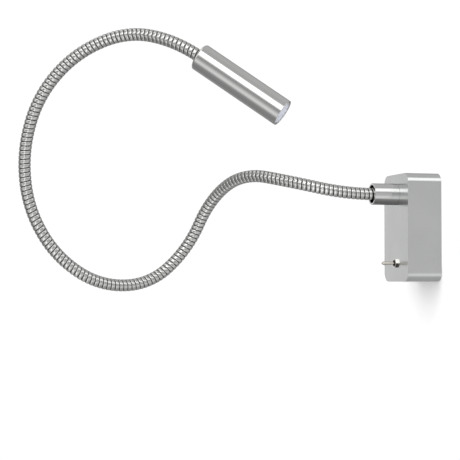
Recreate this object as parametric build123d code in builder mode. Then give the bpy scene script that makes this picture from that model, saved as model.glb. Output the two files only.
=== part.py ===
from build123d import *
from math import acos, cos, pi, radians, sin, sqrt
import os

# A wall reading light: a rounded box on the wall, a collar on its front, a
# ribbed metal hose that bends and holds, and a slim barrel head with its lens.
# The wall is the plane Y = 0 and the light stands out towards -Y. Up is +Z.
# The origin is the middle of the two wall screws, on the wall.

# Wall base, in millimetres
BASE_WIDTH = 60.0
BASE_HEIGHT = 100.0
BASE_DEPTH = 33.0
BASE_CORNER = 9.0
SHELL_WALL = 2.5
FRONT_WALL = 3.0
SEAT_CLEARANCE = 0.3
SLIP_CLEARANCE = 0.1
THREAD_CLEARANCE = 0.05

# Back plate with its folded tabs
PLATE_THICKNESS = 2.0
WALL_SCREW_SPACING = 60.0
WALL_SCREW_HOLE = 4.5
TAB_WIDTH = 20.0
TAB_REACH = 10.0
COVER_SCREW_DIAMETER = 3.0
COVER_SCREW_HEAD = 5.6
COVER_SCREW_LENGTH = 6.5
COVER_SCREW_FROM_WALL = 7.5
COUNTERSINK_ANGLE = 90.0
HEX_SOCKET = 2.0
HEX_SOCKET_DEPTH = 1.2

# Cable inlet in the back plate
ENTRY_HEIGHT = 16.0
ENTRY_BORE = 6.5
ENTRY_SLEEVE = 10.0
ENTRY_FLANGE = 14.0
ENTRY_FLANGE_THICKNESS = 1.5

# Collar on the front of the base, which keeps its distance from the top
ARM_FROM_TOP = 18.6
ARM_HEIGHT = BASE_HEIGHT / 2 - ARM_FROM_TOP
COLLAR_DIAMETER = 20.0
COLLAR_BORE = 16.6
COLLAR_LENGTH = 24.0
COLLAR_FLOOR = 2.0

# Threaded nipples that hold the two ends of the hose
NIPPLE_SLEEVE = 14.0
NIPPLE_SLEEVE_LENGTH = 9.0
NIPPLE_FLOOR = 1.2
NIPPLE_THREAD = 10.0
NIPPLE_BORE = 4.4
NIPPLE_STICK_OUT = 1.0
LOCK_NUT_FLATS = 14.0
LOCK_NUT_THICKNESS = 3.0
INNER_SIDES = 20

# Ribbed hose: one stretch runs from joint to joint
HOSE_DIAMETER = 11.5
GROOVE_DEPTH = 0.55
GROOVE_WIDTH = 1.6
HOSE_BORE = 4.8
STRETCH_PITCH = 51.3
RIBS_PER_STRETCH = 12
ROOT_RIBS = 5
TAIL_RIBS = 2
HOSE_SIDES = 8
BORE_STEPS = 3
JOINT_GAP = 1.6
END_RIB_DROP = 0.15
BALL_DIAMETER = 8.2
BALL_CLEARANCE = 0.12
SOCKET_DEPTH = 0.45
SOCKET_FLOOR = 0.9
BALL_TIP = 0.7

# Where the hose points after each stretch: its climb from straight out, turning
# upwards, and its lean towards +X, in degrees, as it is bent in the photograph
HEADINGS = [
    (13, -17),
    (16, -46),
    (-47, -55),
    (-69, -15),
    (-42, 7),
    (-1, 11),
    (34, 6),
    (60, 7),
    (84, 7),
    (104, 13),
    (129, 21),
    (156, 23),
    (198, 39),
    (218, 22),
]

# Barrel head
HEAD_DIAMETER = 25.0
HEAD_LENGTH = 92.0
HEAD_WALL = 1.25
HEAD_BACK_CHAMFER = 1.6
HEAD_BACK_THICKNESS = 14.0
HEAD_SOCKET_DEPTH = 9.0
HEAD_SOCKET_CLEARANCE = 0.2
HEAT_SINK_LENGTH = 15.0
HEAT_SINK_WIRE_WAY = 4.4
LED_BOARD_DIAMETER = 20.0
LED_BOARD_THICKNESS = 1.6
LED_SCREW_DIAMETER = 2.0
LED_SCREW_HEAD = 3.2
LED_SCREW_HEAD_HEIGHT = 1.0
LED_SCREW_LENGTH = 5.0
LED_SCREW_SPREAD = 15.4
EMITTER_WIDTH = 3.5
EMITTER_HEIGHT = 0.8
REFLECTOR_LENGTH = 11.0
REFLECTOR_BACK_DIAMETER = 8.0
REFLECTOR_WALL = 0.8
REFLECTOR_FLANGE = 1.2
LENS_THICKNESS = 1.6
LENS_RECESS = 0.3

# Toggle switch, which keeps its distance from the bottom
SWITCH_FROM_BOTTOM = 17.1
SWITCH_HEIGHT = SWITCH_FROM_BOTTOM - BASE_HEIGHT / 2
SWITCH_BODY_WIDTH = 13.2
SWITCH_BODY_HEIGHT = 7.9
SWITCH_BODY_DEPTH = 9.5
BUSHING_DIAMETER = 6.35
BUSHING_BORE = 5.2
SWITCH_NUT_FLATS = 8.0
SWITCH_NUT_THICKNESS = 2.0
BUSHING_STICK_OUT = 0.2
LEVER_TILT = 11.0
LEVER_PIVOT_DEPTH = 2.0
LEVER_BALL = 4.4
LEVER_ROOT_DIAMETER = 2.0
LEVER_TIP_DIAMETER = 3.5
LEVER_END_DIAMETER = 1.2
LEVER_LENGTH = 15.6
LEVER_POINT_LENGTH = 1.8
LEVER_SIDES = 16
SWITCH_LUG_SPACING = 4.7
SWITCH_LUG_WIDTH = 2.0
SWITCH_LUG_THICKNESS = 0.8
SWITCH_LUG_LENGTH = 4.0

# Driver board and what stands on it
BOARD_WIDTH = 30.0
BOARD_TOP = 8.0
BOARD_BOTTOM = -23.0
BOARD_THICKNESS = 1.6
STANDOFF_HEIGHT = 6.4
STANDOFF_FLATS = 5.0
STANDOFF_SPREAD = 24.0
STANDOFF_HEIGHT_ON_BOARD = -4.0
BOARD_SCREW_DIAMETER = 2.5
BOARD_SCREW_HEAD = 4.5
BOARD_SCREW_HEAD_HEIGHT = 1.6
BOARD_SCREW_LENGTH = 6.0
SCREW_SIDES = 12
TRANSFORMER_WIDTH = 15.0
TRANSFORMER_HEIGHT = 14.0
TRANSFORMER_DEPTH = 11.0
TRANSFORMER_PLACE = (6.5, -14.0)
CAPACITOR_DIAMETER = 8.0
CAPACITOR_LENGTH = 13.0
CAPACITOR_PLACE = (-8.5, -14.0)
TERMINAL_WIDTH = 12.0
TERMINAL_HEIGHT = 8.0
TERMINAL_DEPTH = 9.0
TERMINAL_PLACE = (-8.0, 2.5)
TERMINAL_PITCH = 5.0
TERMINAL_HOLE = 2.8
TERMINAL_SCREW = 3.2
TERMINAL_SCREW_HEIGHT = 1.0

# Leads
LED_LEAD_DIAMETER = 3.0
LED_LEAD_SIDES = 6
LEAD_TURN_SHARE = 0.45
LEAD_TURN_STEPS = 4
SWITCH_LEAD_DIAMETER = 1.0
SWITCH_LEAD_SIDES = 6

FRONT = -BASE_DEPTH
FRONT_INSIDE = FRONT + FRONT_WALL
OUTWARD = Vector(0, -1, 0)

os.makedirs("parts", exist_ok=True)


def save(piece, name):
    piece.part.label = name
    export_step(piece.part, f"parts/{name}.step")


def heading_vector(climb, lean):
    """Direction of the hose from its climb and its sideways lean."""
    a = radians(climb)
    b = radians(lean)
    return Vector(sin(b), -cos(b) * cos(a), cos(b) * sin(a))


def facing(x, y, z):
    """Plane at a point that looks out of the wall, with +X to the right."""
    return Plane(origin=(x, y, z), x_dir=(1, 0, 0), z_dir=(0, -1, 0))


def turned(frame, outline):
    """Add a turned piece: outline points are (radius, height) along the frame's Z axis."""
    upright = Plane(origin=frame.origin, x_dir=frame.x_dir, z_dir=-frame.y_dir)
    with BuildSketch(upright) as half_section:
        with BuildLine():
            Polyline(*outline, close=True)
        make_face()
    revolve(half_section.sketch, axis=Axis(frame.origin, frame.z_dir))


class Bend:
    """One stretch of the hose: a plain arc between two headings."""

    def __init__(self, start, before, after, length):
        self.start = start
        self.before = before
        self.after = after
        self.length = length
        self.angle = acos(before.dot(after))
        self.inward = (after - before * cos(self.angle)).normalized()
        self.axis = before.cross(self.inward)
        self.radius = length / self.angle

    def plane(self, distance):
        """Plane across the hose, a distance along its middle line, with its X on the bend's axis."""
        turn = min(max(distance, 0), self.length) / self.radius
        straight = distance - turn * self.radius
        direction = self.before * cos(turn) + self.inward * sin(turn)
        middle = self.start + (self.before * sin(turn) + self.inward * (1 - cos(turn))) * self.radius
        return Plane(origin=middle + direction * straight, x_dir=self.axis, z_dir=direction)


def steady(plane):
    """The same plane, turned so that its X stays as near +X as it can."""
    across = Vector(1, 0, 0) - plane.z_dir * plane.z_dir.X
    return Plane(origin=plane.origin, x_dir=across, z_dir=plane.z_dir)


def ring(plane, radius, sides):
    """Corner points of a regular polygon on a plane."""
    corners = [(radius * cos(2 * pi * k / sides), radius * sin(2 * pi * k / sides)) for k in range(sides)]
    return [plane.from_local_coords(corner) for corner in corners]


def skin(rings, closed):
    """Flat-faced solid through rings of points: closed runs back into the first ring, as a tube does."""
    faces = []
    following = rings[1:] + rings[:1] if closed else rings[1:]
    for lower, upper in zip(rings, following):
        for k in range(len(lower)):
            faces.append(Face(Wire.make_polygon([lower[k - 1], lower[k], upper[k]])))
            faces.append(Face(Wire.make_polygon([lower[k - 1], upper[k], upper[k - 1]])))
    if not closed:
        faces += [Face(Wire.make_polygon(rings[0])), Face(Wire.make_polygon(rings[-1]))]
    return Solid(Shell(faces))


def faceted(frame, outline, sides, closed):
    """Many-sided piece from outline points (radius, height) along the frame's Z axis."""
    return skin([ring(frame.offset(height), radius, sides) for radius, height in outline], closed)


# The route of the hose, stretch by stretch
collar_mouth = Vector(0, FRONT - COLLAR_LENGTH, ARM_HEIGHT)
bend_length = STRETCH_PITCH - JOINT_GAP
bends = []
point = collar_mouth
direction = OUTWARD
for climb, lean in HEADINGS:
    following = heading_vector(climb, lean)
    bend = Bend(point, direction, following, bend_length)
    bends.append(bend)
    point = bend.plane(bend_length + JOINT_GAP).origin
    direction = following

print("hose bend radii:", [round(bend.radius, 1) for bend in bends])
head_frame = steady(bends[-1].plane(bend_length))

# Profile radii of the hose, and how far its ends reach past the bends
crown = HOSE_DIAMETER / 2
groove = crown - GROOVE_DEPTH
corner = cos(pi / HOSE_SIDES)
core = HOSE_BORE / 2 / corner
ball = BALL_DIAMETER / 2
socket = (ball + BALL_CLEARANCE) / corner
root_reach = COLLAR_LENGTH - COLLAR_FLOOR - NIPPLE_FLOOR - SLIP_CLEARANCE
tail_reach = NIPPLE_SLEEVE_LENGTH - NIPPLE_FLOOR - SLIP_CLEARANCE
joint_before = -JOINT_GAP / 2
joint_after = bend_length + JOINT_GAP / 2


def rib_stations(start, end, count):
    """Distances and radii of ribs between two ends: each rib is a crown between two grooves."""
    pitch = (end - start) / count
    flank = GROOVE_WIDTH / 2
    stations = []
    for number in range(count):
        foot = start + pitch * number
        stations += [(foot, groove), (foot + flank, crown), (foot + pitch - flank, crown)]
    return stations + [(end, groove)]


def outer_stations(first, last):
    """Outside of a stretch, with its outer ribs squared off where it opens at a joint."""
    stations = rib_stations(0, bend_length, RIBS_PER_STRETCH)
    if first:
        stations = rib_stations(-root_reach, 0, ROOT_RIBS)[:-1] + stations
    else:
        stations[:2] = [(0, crown - END_RIB_DROP), (END_RIB_DROP, crown)]
    if last:
        stations = stations[:-1] + rib_stations(bend_length, bend_length + tail_reach, TAIL_RIBS)
    else:
        stations[-2:] = [(bend_length - END_RIB_DROP, crown), (bend_length, crown - END_RIB_DROP)]
    return stations


def inner_stations(first, last):
    """Inside of a stretch, from its end back to its start, with the ball that its joint turns on."""
    stations = [(bend_length + tail_reach, core), (bend_length, core)]
    if not last:
        stations = [(bend_length, socket)]
        stations += [(joint_after - ball * SOCKET_DEPTH, socket), (joint_after - ball * SOCKET_FLOOR, core)]
    stations += [(bend_length * step / BORE_STEPS, core) for step in reversed(range(BORE_STEPS))]
    if first:
        return stations + [(-root_reach, core)]
    ball_steps = [-BALL_TIP * ball, -BALL_TIP * ball / 2, 0, -joint_before]
    stations.append((joint_before + ball_steps[0], core))
    return stations + [(joint_before + step, sqrt(ball**2 - step**2)) for step in ball_steps]


# Hose stretches: the first is clamped in the collar, the last in the head
for number, bend in enumerate(bends, start=1):
    ends = (number == 1, number == len(bends))
    stations = outer_stations(*ends) + inner_stations(*ends)
    with BuildPart() as hose_stretch:
        rings = [ring(bend.plane(distance), radius, HOSE_SIDES) for distance, radius in stations]
        add(skin(rings, closed=True))
    save(hose_stretch, f"hose_stretch_{number:02d}")

nipple_hole = NIPPLE_THREAD / 2 + SLIP_CLEARANCE
bushing_hole = BUSHING_DIAMETER / 2 + SLIP_CLEARANCE

# Housing shell: a rounded box open to the wall
with BuildPart() as housing_shell:
    with BuildSketch(facing(0, 0, 0)):
        RectangleRounded(BASE_WIDTH, BASE_HEIGHT, BASE_CORNER)
    extrude(amount=BASE_DEPTH)
    with BuildSketch(facing(0, 0, 0)):
        RectangleRounded(BASE_WIDTH - 2 * SHELL_WALL, BASE_HEIGHT - 2 * SHELL_WALL, BASE_CORNER - SHELL_WALL)
    extrude(amount=BASE_DEPTH - FRONT_WALL, mode=Mode.SUBTRACT)
    with BuildSketch(facing(0, FRONT_INSIDE, ARM_HEIGHT)):
        RegularPolygon(radius=nipple_hole, side_count=INNER_SIDES)
    extrude(amount=FRONT_WALL, mode=Mode.SUBTRACT)
    with BuildSketch(facing(0, FRONT_INSIDE, SWITCH_HEIGHT)):
        RegularPolygon(radius=bushing_hole, side_count=INNER_SIDES)
    extrude(amount=FRONT_WALL, mode=Mode.SUBTRACT)
    for side in (1, -1):
        screw_top = Plane(
            origin=(0, -COVER_SCREW_FROM_WALL, side * BASE_HEIGHT / 2), x_dir=(1, 0, 0), z_dir=(0, 0, side)
        )
        with Locations(screw_top):
            CounterSinkHole(
                radius=COVER_SCREW_DIAMETER / 2 + SLIP_CLEARANCE,
                counter_sink_radius=COVER_SCREW_HEAD / 2 + SLIP_CLEARANCE,
                depth=SHELL_WALL,
                counter_sink_angle=COUNTERSINK_ANGLE,
            )
save(housing_shell, "housing_shell")

# Back plate: flat sheet with a tab folded forward at the top and bottom
plate_width = BASE_WIDTH - 2 * SHELL_WALL - 2 * SEAT_CLEARANCE
plate_height = BASE_HEIGHT - 2 * SHELL_WALL - 2 * SEAT_CLEARANCE
sleeve_hole = ENTRY_SLEEVE / 2 + THREAD_CLEARANCE
with BuildPart() as back_plate:
    with BuildSketch(facing(0, 0, 0)):
        RectangleRounded(plate_width, plate_height, BASE_CORNER - SHELL_WALL - SEAT_CLEARANCE)
        with Locations((0, WALL_SCREW_SPACING / 2), (0, -WALL_SCREW_SPACING / 2)):
            Circle(WALL_SCREW_HOLE / 2, mode=Mode.SUBTRACT)
        with Locations((0, ENTRY_HEIGHT)):
            RegularPolygon(radius=sleeve_hole, side_count=INNER_SIDES, mode=Mode.SUBTRACT)
    extrude(amount=PLATE_THICKNESS)
    with BuildSketch(facing(0, -PLATE_THICKNESS, 0)):
        for side in (1, -1):
            with Locations((0, side * (plate_height - PLATE_THICKNESS) / 2)):
                Rectangle(TAB_WIDTH, PLATE_THICKNESS)
    extrude(amount=TAB_REACH)
    with BuildSketch(Plane.XY.offset(-plate_height / 2)):
        with Locations((0, -COVER_SCREW_FROM_WALL)):
            RegularPolygon(radius=COVER_SCREW_DIAMETER / 2 + SLIP_CLEARANCE, side_count=SCREW_SIDES)
    extrude(amount=plate_height, mode=Mode.SUBTRACT)
save(back_plate, "back_plate")

# Cover screws: two countersunk socket screws, one in the top and one in the bottom
cover_screw_outline = [
    (COVER_SCREW_HEAD / 2, 0),
    (COVER_SCREW_DIAMETER / 2, (COVER_SCREW_HEAD - COVER_SCREW_DIAMETER) / 2),
    (COVER_SCREW_DIAMETER / 2, COVER_SCREW_LENGTH),
]
with BuildPart() as cover_screws:
    for side in (1, -1):
        screw_top = Plane(
            origin=(0, -COVER_SCREW_FROM_WALL, side * BASE_HEIGHT / 2), x_dir=(1, 0, 0), z_dir=(0, 0, -side)
        )
        add(faceted(screw_top, cover_screw_outline, SCREW_SIDES, closed=False))
        with BuildSketch(screw_top):
            RegularPolygon(radius=HEX_SOCKET / 2, side_count=6, major_radius=False)
        extrude(amount=HEX_SOCKET_DEPTH, mode=Mode.SUBTRACT)
save(cover_screws, "cover_screws")

# Entry grommet: a bush with its flange inside the box, where the supply cable comes in
with BuildPart() as entry_grommet:
    with BuildSketch(facing(0, 0, ENTRY_HEIGHT)):
        RegularPolygon(radius=ENTRY_SLEEVE / 2, side_count=INNER_SIDES)
    extrude(amount=PLATE_THICKNESS)
    with BuildSketch(facing(0, -PLATE_THICKNESS, ENTRY_HEIGHT)):
        RegularPolygon(radius=ENTRY_FLANGE / 2, side_count=INNER_SIDES)
    extrude(amount=ENTRY_FLANGE_THICKNESS)
    with BuildSketch(facing(0, 0, ENTRY_HEIGHT)):
        Circle(ENTRY_BORE / 2)
    extrude(amount=PLATE_THICKNESS + ENTRY_FLANGE_THICKNESS, mode=Mode.SUBTRACT)
save(entry_grommet, "entry_grommet")

# Collar: a tube with a floor that the nipple clamps to the front
with BuildPart() as collar_tube:
    turned(
        facing(0, FRONT, ARM_HEIGHT),
        [
            (0, 0),
            (COLLAR_DIAMETER / 2, 0),
            (COLLAR_DIAMETER / 2, COLLAR_LENGTH),
            (COLLAR_BORE / 2, COLLAR_LENGTH),
            (COLLAR_BORE / 2, COLLAR_FLOOR),
            (0, COLLAR_FLOOR),
        ],
    )
    with BuildSketch(facing(0, FRONT, ARM_HEIGHT)):
        RegularPolygon(radius=nipple_hole, side_count=INNER_SIDES)
    extrude(amount=COLLAR_FLOOR, mode=Mode.SUBTRACT)
save(collar_tube, "collar_tube")


def nipple_outline(thread_length):
    """Half section of a nipple: its shoulder is at height 0 and its sleeve stands above it."""
    return [
        (NIPPLE_BORE / 2, -thread_length),
        (NIPPLE_THREAD / 2, -thread_length),
        (NIPPLE_THREAD / 2, 0),
        (NIPPLE_SLEEVE / 2, 0),
        (NIPPLE_SLEEVE / 2, NIPPLE_SLEEVE_LENGTH),
        (crown + SLIP_CLEARANCE, NIPPLE_SLEEVE_LENGTH),
        (crown + SLIP_CLEARANCE, NIPPLE_FLOOR),
        (NIPPLE_BORE / 2, NIPPLE_FLOOR),
    ]


# Base nipple, and its nut inside the box
base_thread = COLLAR_FLOOR + FRONT_WALL + LOCK_NUT_THICKNESS + NIPPLE_STICK_OUT
collar_floor = facing(0, FRONT - COLLAR_FLOOR, ARM_HEIGHT)
with BuildPart() as base_nipple:
    add(faceted(collar_floor, nipple_outline(base_thread), INNER_SIDES, closed=True))
save(base_nipple, "base_nipple")

nut_back = FRONT_INSIDE + LOCK_NUT_THICKNESS
with BuildPart() as base_lock_nut:
    with BuildSketch(facing(0, nut_back, ARM_HEIGHT)):
        RegularPolygon(radius=LOCK_NUT_FLATS / 2, side_count=6, major_radius=False)
        RegularPolygon(radius=nipple_hole, side_count=INNER_SIDES, mode=Mode.SUBTRACT)
    extrude(amount=LOCK_NUT_THICKNESS)
save(base_lock_nut, "base_lock_nut")

# Toggle switch: body behind the front wall, bushing through it, nut outside
body_front = FRONT_INSIDE
lever_pivot = Vector(0, FRONT + LEVER_PIVOT_DEPTH, SWITCH_HEIGHT)
pocket_depth = lever_pivot.Y + LEVER_BALL / 2 + SEAT_CLEARANCE - body_front
body_back = body_front + SWITCH_BODY_DEPTH
with BuildPart() as toggle_body:
    with BuildSketch(facing(0, body_back, SWITCH_HEIGHT)):
        Rectangle(SWITCH_BODY_WIDTH, SWITCH_BODY_HEIGHT)
    extrude(amount=SWITCH_BODY_DEPTH)
    with BuildSketch(facing(0, body_front + pocket_depth, SWITCH_HEIGHT)):
        RegularPolygon(radius=BUSHING_BORE / 2, side_count=INNER_SIDES)
    extrude(amount=pocket_depth, mode=Mode.SUBTRACT)
save(toggle_body, "toggle_body")

bushing_length = FRONT_WALL + SWITCH_NUT_THICKNESS + BUSHING_STICK_OUT
with BuildPart() as toggle_bushing:
    with BuildSketch(facing(0, body_front, SWITCH_HEIGHT)):
        RegularPolygon(radius=BUSHING_DIAMETER / 2, side_count=INNER_SIDES)
        RegularPolygon(radius=BUSHING_BORE / 2, side_count=INNER_SIDES, mode=Mode.SUBTRACT)
    extrude(amount=bushing_length)
save(toggle_bushing, "toggle_bushing")

with BuildPart() as toggle_nut:
    with BuildSketch(facing(0, FRONT, SWITCH_HEIGHT)):
        RegularPolygon(radius=SWITCH_NUT_FLATS / 2, side_count=6, major_radius=False)
        RegularPolygon(radius=bushing_hole, side_count=INNER_SIDES, mode=Mode.SUBTRACT)
    extrude(amount=SWITCH_NUT_THICKNESS)
save(toggle_nut, "toggle_nut")

with BuildPart() as toggle_lugs:
    with BuildSketch(facing(0, body_back + SWITCH_LUG_LENGTH, SWITCH_HEIGHT)):
        with Locations((-SWITCH_LUG_SPACING, 0), (0, 0), (SWITCH_LUG_SPACING, 0)):
            Rectangle(SWITCH_LUG_THICKNESS, SWITCH_LUG_WIDTH)
    extrude(amount=SWITCH_LUG_LENGTH)
save(toggle_lugs, "toggle_lugs")

# Toggle lever: a bat lever on its pivot ball, tipped towards -X
tilt = radians(LEVER_TILT)
lever_frame = Plane(origin=lever_pivot, x_dir=(0, 0, 1), z_dir=(-sin(tilt), -cos(tilt), 0))
lever_ball = LEVER_BALL / 2
with BuildPart() as toggle_lever:
    lever_outline = [
        (lever_ball * cos(pi / 4), -lever_ball * sin(pi / 4)),
        (lever_ball, 0),
        (LEVER_ROOT_DIAMETER / 2, lever_ball),
        (LEVER_TIP_DIAMETER / 2, LEVER_LENGTH - LEVER_POINT_LENGTH),
        (LEVER_END_DIAMETER / 2, LEVER_LENGTH),
    ]
    add(faceted(lever_frame, lever_outline, LEVER_SIDES, closed=False))
save(toggle_lever, "toggle_lever")

# Driver board on two hexagonal standoffs
board_back = -PLATE_THICKNESS - STANDOFF_HEIGHT
board_front = board_back - BOARD_THICKNESS
board_hole = BOARD_SCREW_DIAMETER / 2 + SLIP_CLEARANCE
board_middle = (BOARD_TOP + BOARD_BOTTOM) / 2
board_height = BOARD_TOP - BOARD_BOTTOM
standoff_places = [(side * STANDOFF_SPREAD / 2, STANDOFF_HEIGHT_ON_BOARD) for side in (-1, 1)]
with BuildPart() as driver_board:
    with BuildSketch(facing(0, board_back, 0)):
        with Locations((0, board_middle)):
            Rectangle(BOARD_WIDTH, board_height)
        with Locations(*standoff_places):
            RegularPolygon(radius=board_hole, side_count=SCREW_SIDES, mode=Mode.SUBTRACT)
    extrude(amount=BOARD_THICKNESS)
save(driver_board, "driver_board")

with BuildPart() as board_standoffs:
    with BuildSketch(facing(0, -PLATE_THICKNESS, 0)):
        with Locations(*standoff_places):
            RegularPolygon(radius=STANDOFF_FLATS / 2, side_count=6, major_radius=False)
    extrude(amount=STANDOFF_HEIGHT)
    screw_depth = BOARD_SCREW_LENGTH - BOARD_THICKNESS + SLIP_CLEARANCE
    with BuildSketch(facing(0, board_back + screw_depth, 0)):
        with Locations(*standoff_places):
            RegularPolygon(radius=board_hole, side_count=SCREW_SIDES)
    extrude(amount=screw_depth, mode=Mode.SUBTRACT)
save(board_standoffs, "board_standoffs")

screw_outline = [
    (BOARD_SCREW_DIAMETER / 2, -BOARD_SCREW_LENGTH),
    (BOARD_SCREW_DIAMETER / 2, 0),
    (BOARD_SCREW_HEAD / 2, 0),
    (BOARD_SCREW_HEAD / 2, BOARD_SCREW_HEAD_HEIGHT),
]
with BuildPart() as board_screws:
    for x, z in standoff_places:
        add(faceted(facing(x, board_front, z), screw_outline, SCREW_SIDES, closed=False))
save(board_screws, "board_screws")

with BuildPart() as driver_transformer:
    with BuildSketch(facing(TRANSFORMER_PLACE[0], board_front, TRANSFORMER_PLACE[1])):
        Rectangle(TRANSFORMER_WIDTH, TRANSFORMER_HEIGHT)
    extrude(amount=TRANSFORMER_DEPTH)
save(driver_transformer, "driver_transformer")

capacitor_foot = CAPACITOR_PLACE[1] - CAPACITOR_LENGTH / 2
with BuildPart() as driver_capacitor:
    with BuildSketch(Plane.XY.offset(capacitor_foot)):
        with Locations((CAPACITOR_PLACE[0], board_front - CAPACITOR_DIAMETER / 2)):
            RegularPolygon(radius=CAPACITOR_DIAMETER / 2, side_count=INNER_SIDES)
    extrude(amount=CAPACITOR_LENGTH)
save(driver_capacitor, "driver_capacitor")

# Terminal block for the supply wires, open at its top, with its screws in front
terminal_x, terminal_z = TERMINAL_PLACE
terminal_columns = [terminal_x - TERMINAL_PITCH / 2, terminal_x + TERMINAL_PITCH / 2]
terminal_front = board_front - TERMINAL_DEPTH
with BuildPart() as terminal_block:
    with BuildSketch(facing(terminal_x, board_front, terminal_z)):
        Rectangle(TERMINAL_WIDTH, TERMINAL_HEIGHT)
    extrude(amount=TERMINAL_DEPTH)
    with BuildSketch(Plane.XY.offset(terminal_z)):
        with Locations(*[(x, board_front - TERMINAL_DEPTH / 2) for x in terminal_columns]):
            Rectangle(TERMINAL_HOLE, TERMINAL_HOLE)
    extrude(amount=TERMINAL_HEIGHT / 2, mode=Mode.SUBTRACT)
save(terminal_block, "terminal_block")

with BuildPart() as terminal_screws:
    with BuildSketch(facing(0, terminal_front, terminal_z)):
        with Locations(*[(x, 0) for x in terminal_columns]):
            RegularPolygon(radius=TERMINAL_SCREW / 2, side_count=SCREW_SIDES)
    extrude(amount=TERMINAL_SCREW_HEIGHT)
save(terminal_screws, "terminal_screws")

# Switch leads: from two lugs down to the lower edge of the board
lug_end = body_back + SWITCH_LUG_LENGTH
board_core = board_back - BOARD_THICKNESS / 2
switch_run = min(board_core - lug_end, BOARD_BOTTOM - SWITCH_HEIGHT)
switch_radius = LEAD_TURN_SHARE * switch_run
print("switch lead radius:", round(switch_radius, 2))
with BuildPart() as switch_leads:
    for lug_x in (0, SWITCH_LUG_SPACING):
        lead_start = Vector(lug_x, board_core - switch_radius, SWITCH_HEIGHT)
        lead_bend = Bend(lead_start, Vector(0, 1, 0), Vector(0, 0, 1), switch_radius * pi / 2)
        lead_ends = [lug_end - lead_start.Y, lead_bend.length + BOARD_BOTTOM - SWITCH_HEIGHT - switch_radius]
        turn_steps = [lead_bend.length * step / LEAD_TURN_STEPS for step in range(LEAD_TURN_STEPS + 1)]
        lead_stations = [lead_ends[0]] + turn_steps + [lead_ends[1]]
        planes = [lead_bend.plane(step) for step in lead_stations]
        add(skin([ring(plane, SWITCH_LEAD_DIAMETER / 2, SWITCH_LEAD_SIDES) for plane in planes], closed=False))
save(switch_leads, "switch_leads")


def along_head(height):
    """Plane across the head, a height from its back."""
    middle = head_frame.origin + head_frame.z_dir * height
    return Plane(origin=middle, x_dir=head_frame.x_dir, z_dir=head_frame.z_dir)


# Barrel head: a tube with a thick back that holds the nipple of the hose
head_radius = HEAD_DIAMETER / 2
head_bore = head_radius - HEAD_WALL
head_socket = NIPPLE_SLEEVE / 2 + HEAD_SOCKET_CLEARANCE
with BuildPart() as head_barrel:
    turned(
        head_frame,
        [
            (0, HEAD_SOCKET_DEPTH),
            (head_socket, HEAD_SOCKET_DEPTH),
            (head_socket, 0),
            (head_radius, 0),
            (head_radius, HEAD_LENGTH),
            (head_bore, HEAD_LENGTH),
            (head_bore, HEAD_BACK_THICKNESS),
            (0, HEAD_BACK_THICKNESS),
        ],
    )
    with BuildSketch(along_head(HEAD_SOCKET_DEPTH)):
        RegularPolygon(radius=nipple_hole, side_count=INNER_SIDES)
    extrude(amount=HEAD_BACK_THICKNESS - HEAD_SOCKET_DEPTH, mode=Mode.SUBTRACT)
    widest_edges = head_barrel.edges().filter_by(GeomType.CIRCLE).group_by(SortBy.RADIUS)[-1]
    chamfer(widest_edges.sort_by_distance(head_frame.origin)[0], length=HEAD_BACK_CHAMFER)
save(head_barrel, "head_barrel")


# Head nipple: its shoulder rests on the socket's floor and its nut is inside the barrel
head_thread = HEAD_BACK_THICKNESS - HEAD_SOCKET_DEPTH + LOCK_NUT_THICKNESS + NIPPLE_STICK_OUT
socket_floor = along_head(HEAD_SOCKET_DEPTH)
nipple_frame = Plane(origin=socket_floor.origin, x_dir=head_frame.x_dir, z_dir=-head_frame.z_dir)
with BuildPart() as head_nipple:
    add(faceted(nipple_frame, nipple_outline(head_thread), INNER_SIDES, closed=True))
save(head_nipple, "head_nipple")

with BuildPart() as head_lock_nut:
    with BuildSketch(along_head(HEAD_BACK_THICKNESS)):
        RegularPolygon(radius=LOCK_NUT_FLATS / 2, side_count=6, major_radius=False)
        RegularPolygon(radius=nipple_hole, side_count=INNER_SIDES, mode=Mode.SUBTRACT)
    extrude(amount=LOCK_NUT_THICKNESS)
save(head_lock_nut, "head_lock_nut")

# Lens, reflector, light board and heat sink, stacked back from the rim
lens_front = HEAD_LENGTH - LENS_RECESS
lens_back = lens_front - LENS_THICKNESS
board_face = lens_back - REFLECTOR_LENGTH
sink_face = board_face - LED_BOARD_THICKNESS
stack_radius = head_bore - SLIP_CLEARANCE
with BuildPart() as front_lens:
    with BuildSketch(along_head(lens_back)):
        Circle(stack_radius)
    extrude(amount=LENS_THICKNESS)
save(front_lens, "front_lens")

reflector_outline = [
    (REFLECTOR_BACK_DIAMETER / 2, 0),
    (REFLECTOR_BACK_DIAMETER / 2 + REFLECTOR_WALL, 0),
    (stack_radius, REFLECTOR_LENGTH - REFLECTOR_FLANGE),
    (stack_radius, REFLECTOR_LENGTH),
    (stack_radius - REFLECTOR_WALL, REFLECTOR_LENGTH),
]
with BuildPart() as reflector:
    add(faceted(along_head(board_face), reflector_outline, INNER_SIDES, closed=True))
save(reflector, "reflector")

with BuildPart() as led_emitter:
    with BuildSketch(along_head(board_face)):
        Rectangle(EMITTER_WIDTH, EMITTER_WIDTH)
    extrude(amount=EMITTER_HEIGHT)
save(led_emitter, "led_emitter")

led_hole = LED_SCREW_DIAMETER / 2 + SLIP_CLEARANCE
led_screw_places = [(-LED_SCREW_SPREAD / 2, 0), (LED_SCREW_SPREAD / 2, 0)]
with BuildPart() as led_board:
    with BuildSketch(along_head(sink_face)):
        RegularPolygon(radius=LED_BOARD_DIAMETER / 2, side_count=INNER_SIDES)
        with Locations(*led_screw_places):
            RegularPolygon(radius=led_hole, side_count=SCREW_SIDES, mode=Mode.SUBTRACT)
    extrude(amount=LED_BOARD_THICKNESS)
save(led_board, "led_board")

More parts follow.
